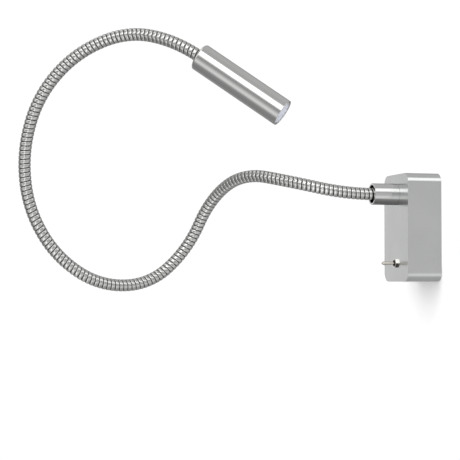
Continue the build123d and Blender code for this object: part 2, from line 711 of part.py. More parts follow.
with BuildPart() as heat_sink:
    with BuildSketch(along_head(sink_face)):
        RegularPolygon(radius=stack_radius, side_count=INNER_SIDES)
        RegularPolygon(radius=HEAT_SINK_WIRE_WAY / 2, side_count=6, mode=Mode.SUBTRACT)
        with Locations(*led_screw_places):
            RegularPolygon(radius=led_hole, side_count=SCREW_SIDES, mode=Mode.SUBTRACT)
    extrude(amount=-HEAT_SINK_LENGTH)
save(heat_sink, "heat_sink")

led_screw_outline = [
    (LED_SCREW_DIAMETER / 2, -LED_SCREW_LENGTH),
    (LED_SCREW_DIAMETER / 2, 0),
    (LED_SCREW_HEAD / 2, 0),
    (LED_SCREW_HEAD / 2, LED_SCREW_HEAD_HEIGHT),
]
with BuildPart() as led_board_screws:
    for x, y in led_screw_places:
        screw_frame = along_head(board_face)
        screw_frame.origin = screw_frame.from_local_coords((x, y))
        add(faceted(screw_frame, led_screw_outline, SCREW_SIDES, closed=False))
save(led_board_screws, "led_board_screws")

# Light lead: one cable from the driver board, through the nipple, the hose and the head,
# to the light board
lead_rise = ARM_HEIGHT - BOARD_TOP
lead_turn = LEAD_TURN_SHARE * lead_rise
print("light lead turn radius in the base:", round(lead_turn, 2))
lead_corner = Vector(0, board_core, ARM_HEIGHT - lead_turn)
inlet = Bend(lead_corner, Vector(0, 0, 1), OUTWARD, lead_turn * pi / 2)
lead_planes = [inlet.plane(lead_turn - lead_rise)]
lead_planes += [inlet.plane(inlet.length * step / LEAD_TURN_STEPS) for step in range(LEAD_TURN_STEPS + 1)]
for bend in bends:
    lead_planes += [bend.plane(bend_length * step / BORE_STEPS) for step in range(BORE_STEPS + 1)]
lead_planes.append(along_head(sink_face))
with BuildPart() as led_lead:
    rings = [ring(steady(plane), LED_LEAD_DIAMETER / 2, LED_LEAD_SIDES) for plane in lead_planes]
    add(skin(rings, closed=False))
save(led_lead, "led_lead")

lead_length = lead_rise - lead_turn + inlet.length + (board_core - lead_turn) - collar_mouth.Y
lead_length += len(bends) * STRETCH_PITCH - JOINT_GAP + sink_face
lead_section = LED_LEAD_SIDES / 2 * (LED_LEAD_DIAMETER / 2) ** 2 * sin(2 * pi / LED_LEAD_SIDES)
print("light lead volume:", round(led_lead.part.volume, 1))
print("its section times its length:", round(lead_section * lead_length, 1))
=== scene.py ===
"""Looks of a wall reading light: satin box and collar, ribbed bendable neck, slim barrel head with its lens."""

import logging
from collections.abc import Callable, Sequence
from dataclasses import dataclass, field
from enum import Enum
from functools import cached_property
from math import acos, ceil, cos, pi, radians, sin

import bmesh
import bpy
from mathutils import Matrix, Vector


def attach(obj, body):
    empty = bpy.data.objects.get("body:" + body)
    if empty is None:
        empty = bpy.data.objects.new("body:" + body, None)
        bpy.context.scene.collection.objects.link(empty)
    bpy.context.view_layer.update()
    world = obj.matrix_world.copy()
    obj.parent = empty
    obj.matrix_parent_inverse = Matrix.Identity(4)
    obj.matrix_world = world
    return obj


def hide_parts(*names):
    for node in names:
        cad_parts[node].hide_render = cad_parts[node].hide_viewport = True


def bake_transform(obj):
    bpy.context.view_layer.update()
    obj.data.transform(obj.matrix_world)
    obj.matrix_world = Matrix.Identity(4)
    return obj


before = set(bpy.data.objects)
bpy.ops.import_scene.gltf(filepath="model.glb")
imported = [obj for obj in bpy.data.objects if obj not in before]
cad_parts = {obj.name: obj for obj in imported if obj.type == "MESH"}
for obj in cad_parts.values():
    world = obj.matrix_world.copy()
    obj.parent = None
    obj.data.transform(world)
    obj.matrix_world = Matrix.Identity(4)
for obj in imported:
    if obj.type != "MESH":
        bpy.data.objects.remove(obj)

log = logging.getLogger("reading_light")

MM = 0.001
IMAGE_WIDTH = 460
SENSOR_WIDTH = 36.0
HOLLOW = "hollow"
WHITE = (1.0, 1.0, 1.0, 1.0)
BLACK = (0.0, 0.0, 0.0, 1.0)
WORN_GAIN = 1.25
# Colour of the painted shade in the hose's grooves.
GROOVE_SHADE_COLOUR = (0.03, 0.028, 0.025, 1.0)
# Colour of the painted shade on faces that look down.
UNDERSHADE = (0.02, 0.018, 0.015, 1.0)
DUST = (0.6, 0.59, 0.57, 1.0)

Point = tuple[float, float, float]
Outline = Sequence[tuple[float, float]]
Socket = bpy.types.NodeSocket
Fed = float | tuple[float, ...] | Socket
Measure = float | Callable[[float], float]


class Body(str, Enum):
    """Bodies of the light that pieces ride on by name."""

    BASE = "wall_base"
    HEAD = "head"
    TOGGLE = "toggle"


class Slot(str, Enum):
    """Material slots of the record."""

    HOUSING = "housing_metal"
    HOSE = "hose_metal"
    PLATE = "plate_steel"
    BRASS = "brass"
    SCREW = "screw_steel"
    RUBBER = "rubber"
    SWITCH = "switch_plastic"
    BOARD = "board_laminate"
    DARK = "dark_plastic"
    TERMINAL = "terminal_plastic"
    SHEATH = "cable_sheath"
    HEAD = "head_metal"
    SINK = "bare_aluminium"
    REFLECTOR = "reflector_plastic"
    LENS = "lens_glass"
    EMITTER = "emitter"


class Grain(Enum):
    """Ways that a surface was worked: its value is how much the grain is stretched along X, Y and Z."""

    SATIN = (1.0, 1.0, 1.0)
    UPRIGHT = (1.0, 1.0, 0.06)


class NodeSheet:
    """Small helper that fills a node tree."""

    def __init__(self, tree: bpy.types.NodeTree) -> None:
        """Start from an empty tree."""
        self.tree = tree
        self.tree.nodes.clear()

    def feed(self, target: Socket, value: Fed) -> None:
        """Give an input a number or a colour, or join it to an output.

        Args:
            target: Input socket.
            value: What it gets.
        """
        if isinstance(value, Socket):
            self.tree.links.new(value, target)
        else:
            target.default_value = value

    def add(self, kind: str, **values: object) -> bpy.types.Node:
        """Add a node.

        Args:
            kind: Blender's node type.
            **values: Node settings, or what its inputs get, by name with spaces as underscores.

        Returns:
            The new node.
        """
        node = self.tree.nodes.new(kind)
        for name, value in values.items():
            if hasattr(node, name):
                setattr(node, name, value)
            else:
                self.feed(node.inputs[name.replace("_", " ")], value)
        return node

    def join(self, kind: str, *values: Fed, **settings: object) -> Socket:
        """Add a node whose inputs are fed in order.

        Args:
            kind: Blender's node type.
            *values: What its inputs get, in order.
            **settings: Node settings.

        Returns:
            Its first output.
        """
        node = self.add(kind, **settings)
        for socket, value in zip(node.inputs, values):
            self.feed(socket, value)
        return node.outputs[0]

    def math(self, operation: str, *values: Fed) -> Socket:
        """Add a sum of numbers or outputs, by Blender's name of the operation."""
        return self.join("ShaderNodeMath", *values, operation=operation)

    def span(self, operation: str, first: Fed, second: Fed) -> Socket:
        """Add a sum of two vectors that gives a number, by Blender's name of the operation."""
        return self.join("ShaderNodeVectorMath", first, second, operation=operation).node.outputs["Value"]

    def product(self, *values: Fed) -> Socket:
        """Multiply numbers or outputs.

        Args:
            *values: What is multiplied, one at least.

        Returns:
            Output with the result.
        """
        result = values[0]
        for value in values[1:]:
            result = self.math("MULTIPLY", result, value)
        return result

    def ramp(
        self, value: Fed, low: Fed, high: Fed, first: Fed = 0.0, last: Fed = 1.0, way: str = "SMOOTHSTEP"
    ) -> Socket:
        """Turn one range of values into another.

        Args:
            value: Output that is read.
            low: Value that gives the first result.
            high: Value that gives the last result.
            first: Result at low.
            last: Result at high.
            way: How the results run between them.

        Returns:
            Output with the result.
        """
        return self.join("ShaderNodeMapRange", value, low, high, first, last, interpolation_type=way)

    def blend(self, first: Fed, second: Fed, share: Fed) -> Socket:
        """Mix two numbers.

        Args:
            first: Number at a share of 0.
            second: Number at a share of 1.
            share: Share of the second.

        Returns:
            Output with the result.
        """
        node = self.add("ShaderNodeMix", data_type="FLOAT")
        for number, value in ((0, share), (2, first), (3, second)):
            self.feed(node.inputs[number], value)
        return node.outputs[0]

    def coat(self, below: Fed, above: Fed, share: Fed, way: str = "MIX") -> Socket:
        """Lay one colour over another.

        Args:
            below: Colour underneath.
            above: Colour on top.
            share: How much the top one covers.
            way: How the two mix.

        Returns:
            Output with the colour.
        """
        node = self.add("ShaderNodeMix", data_type="RGBA", blend_type=way)
        for number, value in ((0, share), (6, below), (7, above)):
            self.feed(node.inputs[number], value)
        return node.outputs[2]

    def axes(self, vector: Socket) -> list[Socket]:
        """Return the three parts of a vector."""
        return list(self.add("ShaderNodeSeparateXYZ", Vector=vector).outputs)

    def place(self, space: str = "Object") -> Socket:
        """Return where a point of the surface or of the room is."""
        return self.add("ShaderNodeTexCoord").outputs[space]


class GroupSheet(NodeSheet):
    """Node sheet of a shader node group with named inputs and outputs."""

    def __init__(self, name: str, inputs: dict[str, Fed], outputs: Sequence[str] = ("Mask",)) -> None:
        """Start a group.

        Args:
            name: Group's name.
            inputs: Each input's name and default, one number or three.
            outputs: Each output's name.
        """
        super().__init__(bpy.data.node_groups.new(name, "ShaderNodeTree"))
        for label, value in inputs.items():
            kind = "NodeSocketFloat" if isinstance(value, float) else "NodeSocketVector"
            socket = self.tree.interface.new_socket(name=label, in_out="INPUT", socket_type=kind)
            socket.default_value = value
        for label in outputs:
            self.tree.interface.new_socket(name=label, in_out="OUTPUT", socket_type="NodeSocketFloat")
        self.given = self.add("NodeGroupInput").outputs
        self.result = self.add("NodeGroupOutput").inputs

    def mask(self, share: Socket) -> bpy.types.NodeTree:
        """Put out a share times the group's amount, as its mask, and return the group."""
        self.feed(self.result["Mask"], self.math("MULTIPLY", share, self.given["Amount"]))
        return self.tree


class SurfaceGroups:
    """Shader node groups that several finishes share, each built at its first use."""

    @cached_property
    def grain(self) -> bpy.types.NodeTree:
        """Build fine grain: a tint around 1, a roughness and a height.

        Returns:
            The node group.
        """
        inputs = {"Scale": 1800.0, "Stretch": WHITE[:3], "Tint Amount": 0.05}
        inputs |= {"Roughness Low": 0.2, "Roughness High": 0.3}
        sheet = GroupSheet("metal_grain", inputs, ("Tint", "Roughness", "Height"))
        place = sheet.place()
        stretched = sheet.join("ShaderNodeVectorMath", place, sheet.given["Stretch"], operation="MULTIPLY")
        noise = sheet.add(
            "ShaderNodeTexNoise", Vector=stretched, Scale=sheet.given["Scale"], Detail=3.0, Roughness=0.6
        )
        fine = noise.outputs["Fac"]
        cloudy = sheet.add("ShaderNodeTexNoise", Vector=place, Scale=45.0, Detail=2.0).outputs["Fac"]
        centred = sheet.math("SUBTRACT", sheet.math("ADD", fine, cloudy), 1.0)
        tint = sheet.math("MULTIPLY_ADD", centred, sheet.given["Tint Amount"], 1.0)
        sheet.feed(sheet.result["Tint"], tint)
        limits = (sheet.given["Roughness Low"], sheet.given["Roughness High"])
        sheet.feed(sheet.result["Roughness"], sheet.ramp(fine, 0.3, 0.7, *limits, "LINEAR"))
        sheet.feed(sheet.result["Height"], fine)
        return sheet.tree

    @cached_property
    def edge_wear(self) -> bpy.types.NodeTree:
        """Build rubbed edges: a mask from how sharply the surface turns.

        Returns:
            The node group.
        """
        sheet = GroupSheet("edge_wear", {"Amount": 0.3})
        turning = sheet.add("ShaderNodeNewGeometry").outputs["Pointiness"]
        return sheet.mask(sheet.ramp(turning, 0.52, 0.62, way="LINEAR"))

    @cached_property
    def painted_groove_shade(self) -> bpy.types.NodeTree:
        """Build painted shade in grooves: a mask from how deep a mesh says each point lies.

        Returns:
            The node group.
        """
        sheet = GroupSheet("painted_groove_shade", {"Amount": 0.5})
        hollow = sheet.add("ShaderNodeAttribute", attribute_name=HOLLOW).outputs["Fac"]
        return sheet.mask(sheet.ramp(hollow, 0.1, 0.8))

    @cached_property
    def underside(self) -> bpy.types.NodeTree:
        """Build painted shade on the underside: a mask of faces that look down.

        Returns:
            The node group.
        """
        sheet = GroupSheet("underside", {"Amount": 0.5})
        upward = sheet.axes(sheet.add("ShaderNodeNewGeometry").outputs["Normal"])[2]
        return sheet.mask(sheet.ramp(upward, -0.4, -0.55))

    @cached_property
    def dust(self) -> bpy.types.NodeTree:
        """Build a faint film of dust: a patchy mask of faces that look up.

        Returns:
            The node group.
        """
        sheet = GroupSheet("dust_film", {"Amount": 0.1, "Scale": 260.0})
        upward = sheet.axes(sheet.add("ShaderNodeNewGeometry").outputs["Normal"])[2]
        specks = sheet.add("ShaderNodeTexNoise", Vector=sheet.place(), Scale=sheet.given["Scale"], Detail=4.0)
        return sheet.mask(sheet.product(sheet.ramp(upward, 0.2, 1.0, way="LINEAR"), specks.outputs["Fac"]))


GROUPS = SurfaceGroups()


@dataclass(frozen=True)
class Finish:
    """What a surface is like.

    Attributes:
        name: Material's name.
        colour: Linear colour.
    """

    name: str
    colour: Point

    def fill(self, sheet: NodeSheet) -> bpy.types.Node:
        """Add the finish's shader to a sheet and return it; each kind of finish has its own."""
        raise NotImplementedError

    def material(self) -> bpy.types.Material:
        """Build the material.

        Returns:
            The material.
        """
        made = bpy.data.materials.new(self.name)
        made.use_nodes = True
        sheet = NodeSheet(made.node_tree)
        sheet.add("ShaderNodeOutputMaterial", Surface=self.fill(sheet).outputs["BSDF"])
        return made


@dataclass(frozen=True)
class PlasticFinish(Finish):
    """A moulded, coated or rubbery surface.

    Attributes:
        roughness: Lowest and highest roughness over the grain.
        grain: How the surface was worked.
        grain_scale: Grains per metre.
        tint: How much the grain changes the colour.
        bump: Depth of the grain, in metres.
        bump_strength: How much of that depth shows.
        dust: How much dust lies on faces that look up.
        metallic: 1 for metal, 0 for anything else.
    """

    roughness: tuple[float, float]
    grain: Grain = Grain.SATIN
    grain_scale: float = 2500.0
    tint: float = 0.12
    bump: float = 0.00002
    bump_strength: float = 0.3
    dust: float = 0.1
    metallic: float = 0.0

    def layers(self) -> list[tuple[bpy.types.NodeTree, float, tuple[float, ...]]]:
        """Return the mask, the amount and the colour of each film on the surface, lowest first."""
        return [(GROUPS.dust, self.dust, DUST)]

    def fill(self, sheet: NodeSheet) -> bpy.types.Node:
        """Add the shader: the grained colour under its films.

        Args:
            sheet: Material's node sheet.

        Returns:
            The shader.
        """
        grain = sheet.add(
            "ShaderNodeGroup",
            node_tree=GROUPS.grain,
            Scale=self.grain_scale,
            Stretch=self.grain.value,
            Tint_Amount=self.tint,
            Roughness_Low=self.roughness[0],
            Roughness_High=self.roughness[1],
        ).outputs
        colour = sheet.coat((*self.colour, 1.0), grain["Tint"], 1.0, "MULTIPLY")
        for group, amount, film in self.layers():
            mask = sheet.add("ShaderNodeGroup", node_tree=group, Amount=amount).outputs["Mask"]
            colour = sheet.coat(colour, film, mask)
        bump = sheet.add(
            "ShaderNodeBump", Strength=self.bump_strength, Distance=self.bump, Height=grain["Height"]
        )
        return sheet.add(
            "ShaderNodeBsdfPrincipled",
            Metallic=self.metallic,
            Base_Color=colour,
            Roughness=grain["Roughness"],
            Normal=bump.outputs["Normal"],
        )


@dataclass(frozen=True)
class MetalFinish(PlasticFinish):
    """A bare or plated metal.

    Attributes:
        wear: How much edges are rubbed bright.
        groove_shade_amount: How far painted shade darkens the hollows of grooves.
        shade: How dark the painted shade makes faces that look down.
    """

    grain_scale: float = 1800.0
    tint: float = 0.05
    bump: float = 0.00001
    bump_strength: float = 0.25
    dust: float = 0.05
    metallic: float = 1.0
    wear: float = 0.3
    # Painted shade: how far the hollows of grooves are darkened.
    groove_shade_amount: float = 0.3
    shade: float = 0.0

    def layers(self) -> list[tuple[bpy.types.NodeTree, float, tuple[float, ...]]]:
        """Return the films: rubbed edges, painted shade in the grooves' hollows and painted shade below, then dust.

        Returns:
            Mask, amount and colour of each film, lowest first.
        """
        worn = tuple(min(1.0, part * WORN_GAIN) for part in self.colour) + (1.0,)
        # Rubbed edges are real wear; the darkened grooves are painted shade.
        films = [(GROUPS.edge_wear, self.wear, worn), (GROUPS.painted_groove_shade, self.groove_shade_amount, GROOVE_SHADE_COLOUR)]
        return [*films, (GROUPS.underside, self.shade, UNDERSHADE), *super().layers()]


@dataclass(frozen=True)
class GlassFinish(Finish):
    """A clear lens.

    Attributes:
        roughness: Roughness of its surface.
        refraction: Index of refraction.
    """

    roughness: float
    refraction: float

    def fill(self, sheet: NodeSheet) -> bpy.types.Node:
        """Add the shader: clear and plain.

        Args:
            sheet: Material's node sheet.

        Returns:
            The shader.
        """
        return sheet.add(
            "ShaderNodeBsdfPrincipled",
            Base_Color=(*self.colour, 1.0),
            Roughness=self.roughness,
            IOR=self.refraction,
            Transmission_Weight=1.0,
        )


FINISHES = {
    Slot.HOUSING: MetalFinish(
        "satin_nickel", (0.455, 0.462, 0.458), (0.19, 0.26), grain=Grain.UPRIGHT, tint=0.13, wear=0.12
    ),
    Slot.HEAD: MetalFinish("satin_nickel_head", (0.447, 0.45, 0.443), (0.12, 0.16), wear=0.0),
    # The hose's grooves get painted shade, almost black.
    Slot.HOSE: MetalFinish("hose_nickel", (0.4, 0.4, 0.392), (0.14, 0.2), tint=0.1, wear=0.0, groove_shade_amount=0.97),
    Slot.PLATE: MetalFinish("zinc_plate", (0.56, 0.57, 0.58), (0.3, 0.5), grain_scale=400.0, tint=0.25),
    Slot.BRASS: MetalFinish("turned_brass", (0.56, 0.42, 0.2), (0.25, 0.35), tint=0.1),
    Slot.SCREW: MetalFinish("bright_nickel", (0.58, 0.57, 0.55), (0.1, 0.16), tint=0.06),
    Slot.RUBBER: PlasticFinish("grommet_rubber", (0.02, 0.02, 0.02), (0.55, 0.75)),
    Slot.SWITCH: PlasticFinish("switch_case", (0.02, 0.02, 0.025), (0.35, 0.5)),
    Slot.BOARD: PlasticFinish("board_laminate", (0.01, 0.09, 0.03), (0.3, 0.4)),
    Slot.DARK: PlasticFinish("dark_case", (0.015, 0.015, 0.018), (0.2, 0.3)),
    Slot.TERMINAL: PlasticFinish("terminal_case", (0.03, 0.25, 0.06), (0.3, 0.4)),
    Slot.SHEATH: PlasticFinish("lead_sheath", (0.7, 0.69, 0.66), (0.35, 0.45)),
    Slot.SINK: MetalFinish("machined_aluminium", (0.6, 0.6, 0.61), (0.25, 0.35), tint=0.1),
    Slot.REFLECTOR: MetalFinish(
        "mirror_coat", (0.8, 0.81, 0.86), (0.15, 0.2), tint=0.02, dust=0.0, wear=0.0, groove_shade_amount=0.0
    ),
    Slot.LENS: GlassFinish("lens_glass", (0.93, 0.95, 1.0), 0.02, 1.49),
    Slot.EMITTER: PlasticFinish("emitter_cover", (0.8, 0.62, 0.15), (0.3, 0.45), grain_scale=4000.0),
}

# Collar: painted shade darkens its lower band, on faces that look down.
COLLAR_FINISH = MetalFinish("satin_nickel_collar", (0.45, 0.455, 0.45), (0.12, 0.17), wear=0.0, shade=0.55)
# Nut: a lighter copy of the screw steel, a painted highlight on its upper facets, with painted shade turning its
# facets that look down almost black.
NUT_FINISH = MetalFinish("nut_nickel", (0.74, 0.73, 0.7), (0.08, 0.12), tint=0.04, wear=0.0, shade=1.3)
# Bushing: its dark brown is painted shade, standing in for the shaded hole around the lever.
BUSHING_SHADE_FINISH = MetalFinish("bushing_painted_shade", (0.16, 0.135, 0.105), (0.25, 0.32), tint=0.08, wear=0.0)
# Lever: painted shade darkens its faces that look down.
LEVER_FINISH = MetalFinish("lever_nickel", (0.47, 0.45, 0.41), (0.22, 0.28), tint=0.05, wear=0.0, shade=0.3)


@dataclass(frozen=True)
class Place:
    """Where a piece stands: its origin in millimetres and its three axes.

    Attributes:
        origin: Middle of the piece's foot.
        across: Its X axis.
        up: Its Y axis.
        along: Its Z axis, the axis that turned pieces turn about.
    """

    origin: Vector
    across: Vector
    up: Vector
    along: Vector

    @classmethod
    def looking(cls, origin: Sequence[float], along: Sequence[float]) -> "Place":
        """Make a place whose X axis stays as near +X as it can.

        Args:
            origin: Its origin.
            along: Its Z axis.

        Returns:
            The place.
        """
        axis = Vector(along).normalized()
        seed = Vector((1, 0, 0)) if abs(axis.x) < 0.99 else Vector((0, 1, 0))
        across = (seed - axis * seed.dot(axis)).normalized()
        return cls(Vector(origin), across, axis.cross(across), axis)

    def point(self, radius: float, angle: float, height: float = 0.0) -> Vector:
        """Return a point in millimetres, from its distance and angle around the Z axis and its height."""
        x, y = radius * cos(angle), radius * sin(angle)
        return self.origin + self.across * x + self.up * y + self.along * height


class Draft:
    """Mesh under construction, in millimetres."""

    def __init__(self) -> None:
        """Start empty."""
        self.points: list[Vector] = []
        self.faces: list[tuple[int, ...]] = []
        self.hollows: list[float] = []

    def skin(self, rings: Sequence[Sequence[Vector]], closed: bool = False) -> None:
        """Join closed rings of as many points with bands of faces.

        Args:
            rings: Points of each ring, in order.
            closed: Whether the last ring joins the first, rather than each end getting a cap.
        """
        rows = []
        for ring in rings:
            rows.append(range(len(self.points), len(self.points) + len(ring)))
            self.points += ring
        pairs = [*zip(rows, rows[1:])] + ([(rows[-1], rows[0])] if closed else [])
        for lower, upper in pairs:
            self.faces += [(lower[k - 1], lower[k], upper[k], upper[k - 1]) for k in range(len(lower))]
        if not closed:
            self.faces += [tuple(rows[0]), tuple(rows[-1])]

    def piece(self, name: str, sharp_angle: float = 40.0, weighted: bool = False) -> bpy.types.Object:
        """Make the object, with its faces turned outward.

        Args:
            name: Piece's name.
            sharp_angle: Edges that turn more than this, in degrees, stay sharp.
            weighted: Whether large faces keep their own shading at a rounded edge.

        Returns:
            The object.
        """
        mesh = bpy.data.meshes.new(name)
        mesh.from_pydata([point * MM for point in self.points], [], self.faces)
        work = bmesh.new()
        work.from_mesh(mesh)
        bmesh.ops.recalc_face_normals(work, faces=work.faces)
        work.to_mesh(mesh)
        work.free()
        if self.hollows:
            mesh.attributes.new(HOLLOW, "FLOAT", "POINT").data.foreach_set("value", self.hollows)
        made = bpy.data.objects.new(name, mesh)
        bpy.context.scene.collection.objects.link(made)
        finish_edges(made, sharp_angle, weighted)
        return made


def finish_edges(piece: bpy.types.Object, sharp_angle: float, weighted: bool) -> None:
    """Shade a piece smooth between its sharp edges.

    Args:
        piece: Object to shade.
        sharp_angle: Edges that turn more than this, in degrees, stay sharp.
        weighted: Whether large faces keep their own shading at a rounded edge.
    """
    for face in piece.data.polygons:
        face.use_smooth = True
    piece.data.set_sharp_from_angle(angle=radians(sharp_angle))
    if weighted:
        piece.modifiers.new("shading", "WEIGHTED_NORMAL").keep_sharp = True


def measured(measure: Measure, angle: float) -> float:
    """Return a size that may change around a turned piece."""
    return measure(angle) if callable(measure) else measure


def soften(outline: Outline, corners: dict[int, float], steps: int = 5) -> list[tuple[float, float]]:
    """Round some corners of an outline.

    Args:
        outline: Corner points, which close into a loop.
        corners: Radius of each corner that is rounded, by its number.
        steps: Steps of each rounding.

    Returns:
        The outline with its corners rounded.
    """
    softened: list[tuple[float, float]] = []
    for number, corner in enumerate(outline):
        if number not in corners:
            softened.append(corner)
            continue
        here = Vector(corner)
        back = (Vector(outline[number - 1]) - here).normalized()
        ahead = (Vector(outline[(number + 1) % len(outline)]) - here).normalized()
        half = acos(max(-1.0, min(1.0, back.dot(ahead)))) / 2
        radius = corners[number]
        reach = radius / (sin(half) / cos(half))
        middle = here + (back + ahead).normalized() * (radius / sin(half))
        first, last = here + back * reach - middle, here + ahead * reach - middle
        for step in range(steps + 1):
            softened.append(tuple(middle + first.lerp(last, step / steps).normalized() * radius))
    return softened


def turned(
    name: str, place: Place, outline: Sequence[tuple[Measure, Measure]], segments: int = 96, closed: bool = False
) -> bpy.types.Object:
    """Make a turned piece, whose radius and height may change around its axis.

    Args:
        name: Piece's name.
        place: Its foot and axis.
        outline: Radius and height of each ring, in millimetres.
        segments: Points around.
        closed: Whether the outline closes into a loop, as in a tube, rather than ending in two caps.

    Returns:
        The object.
    """
    angles = [2 * pi * step / segments for step in range(segments)]
    draft = Draft()
    draft.skin(
        [[place.point(measured(radius, a), a, measured(height, a)) for a in angles] for radius, height in outline],
        closed,
    )
    return draft.piece(name, weighted=True)


def hexagon(across_flats: float) -> Callable[[float], float]:
    """Return how far a hexagon reaches at each angle, for its width across flats."""
    return lambda angle: across_flats / 2 / cos(angle % (pi / 3) - pi / 6)


def rounded_rectangle(width: float, height: float, radius: float, steps: int) -> list[tuple[float, float]]:
    """Return the outline of a rectangle with round corners.

    Args:
        width: Its width.
        height: Its height.
        radius: Radius of its corners.
        steps: Steps of each corner.

    Returns:
        Its points, anticlockwise.
    """
    points = []
    for quarter, (side_x, side_z) in enumerate(((1, 1), (-1, 1), (-1, -1), (1, -1))):
        for step in range(steps + 1):
            angle = pi / 2 * (quarter + step / steps)
            x = side_x * (width / 2 - radius) + radius * cos(angle)
            points.append((x, side_z * (height / 2 - radius) + radius * sin(angle)))
    return points


def carve(piece: bpy.types.Object, cutter: bpy.types.Object) -> None:
    """Cut one piece out of another, and drop the cutter.

    Args:
        piece: Object that loses material.
        cutter: Shape that is cut away.
    """
    cut = piece.modifiers.new("cut", "BOOLEAN")
    cut.operation, cut.solver, cut.object = "DIFFERENCE", "EXACT", cutter
    bpy.context.view_layer.update()
    sight = bpy.context.evaluated_depsgraph_get()
    piece.data = bpy.data.meshes.new_from_object(piece.evaluated_get(sight))
    piece.modifiers.clear()
    bpy.data.objects.remove(cutter)


class Workshop:
    """Materials of the light, each made once, and the calls that dress a piece."""

    def __init__(self) -> None:
        """Start with no material made."""
        self.made: dict[str, bpy.types.Material] = {}

    def material(self, finish: Finish) -> bpy.types.Material:
        """Return a finish's material, making it at its first use.

        Args:
            finish: What the surface is like.

        Returns:
            The material.
        """
        if finish.name not in self.made:
            self.made[finish.name] = finish.material()
        return self.made[finish.name]

    def dress(
        self, piece: bpy.types.Object, slot: Slot, stands_for: Sequence[str], finish: Finish | None = None
    ) -> None:
        """Give a piece its finish, and hide the solids that it stands for.

        Args:
            piece: Object to dress.
            slot: Its material slot.
            stands_for: Solids of the part that it replaces.
            finish: Its own finish, where it differs from the slot's.
        """
        piece.data.materials.clear()
        piece.data.materials.append(self.material(finish or FINISHES[slot]))
        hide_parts(*stands_for)
        log.info("%s: %s, %d faces", piece.name, slot.value, len(piece.data.polygons))

    def fit(
        self, piece: bpy.types.Object, slot: Slot, body: Body, solid: str, finish: Finish | None = None
    ) -> None:
        """Dress a piece that stands for one solid, and let it ride on a body."""
        self.dress(piece, slot, [solid], finish)
        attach(piece, body)


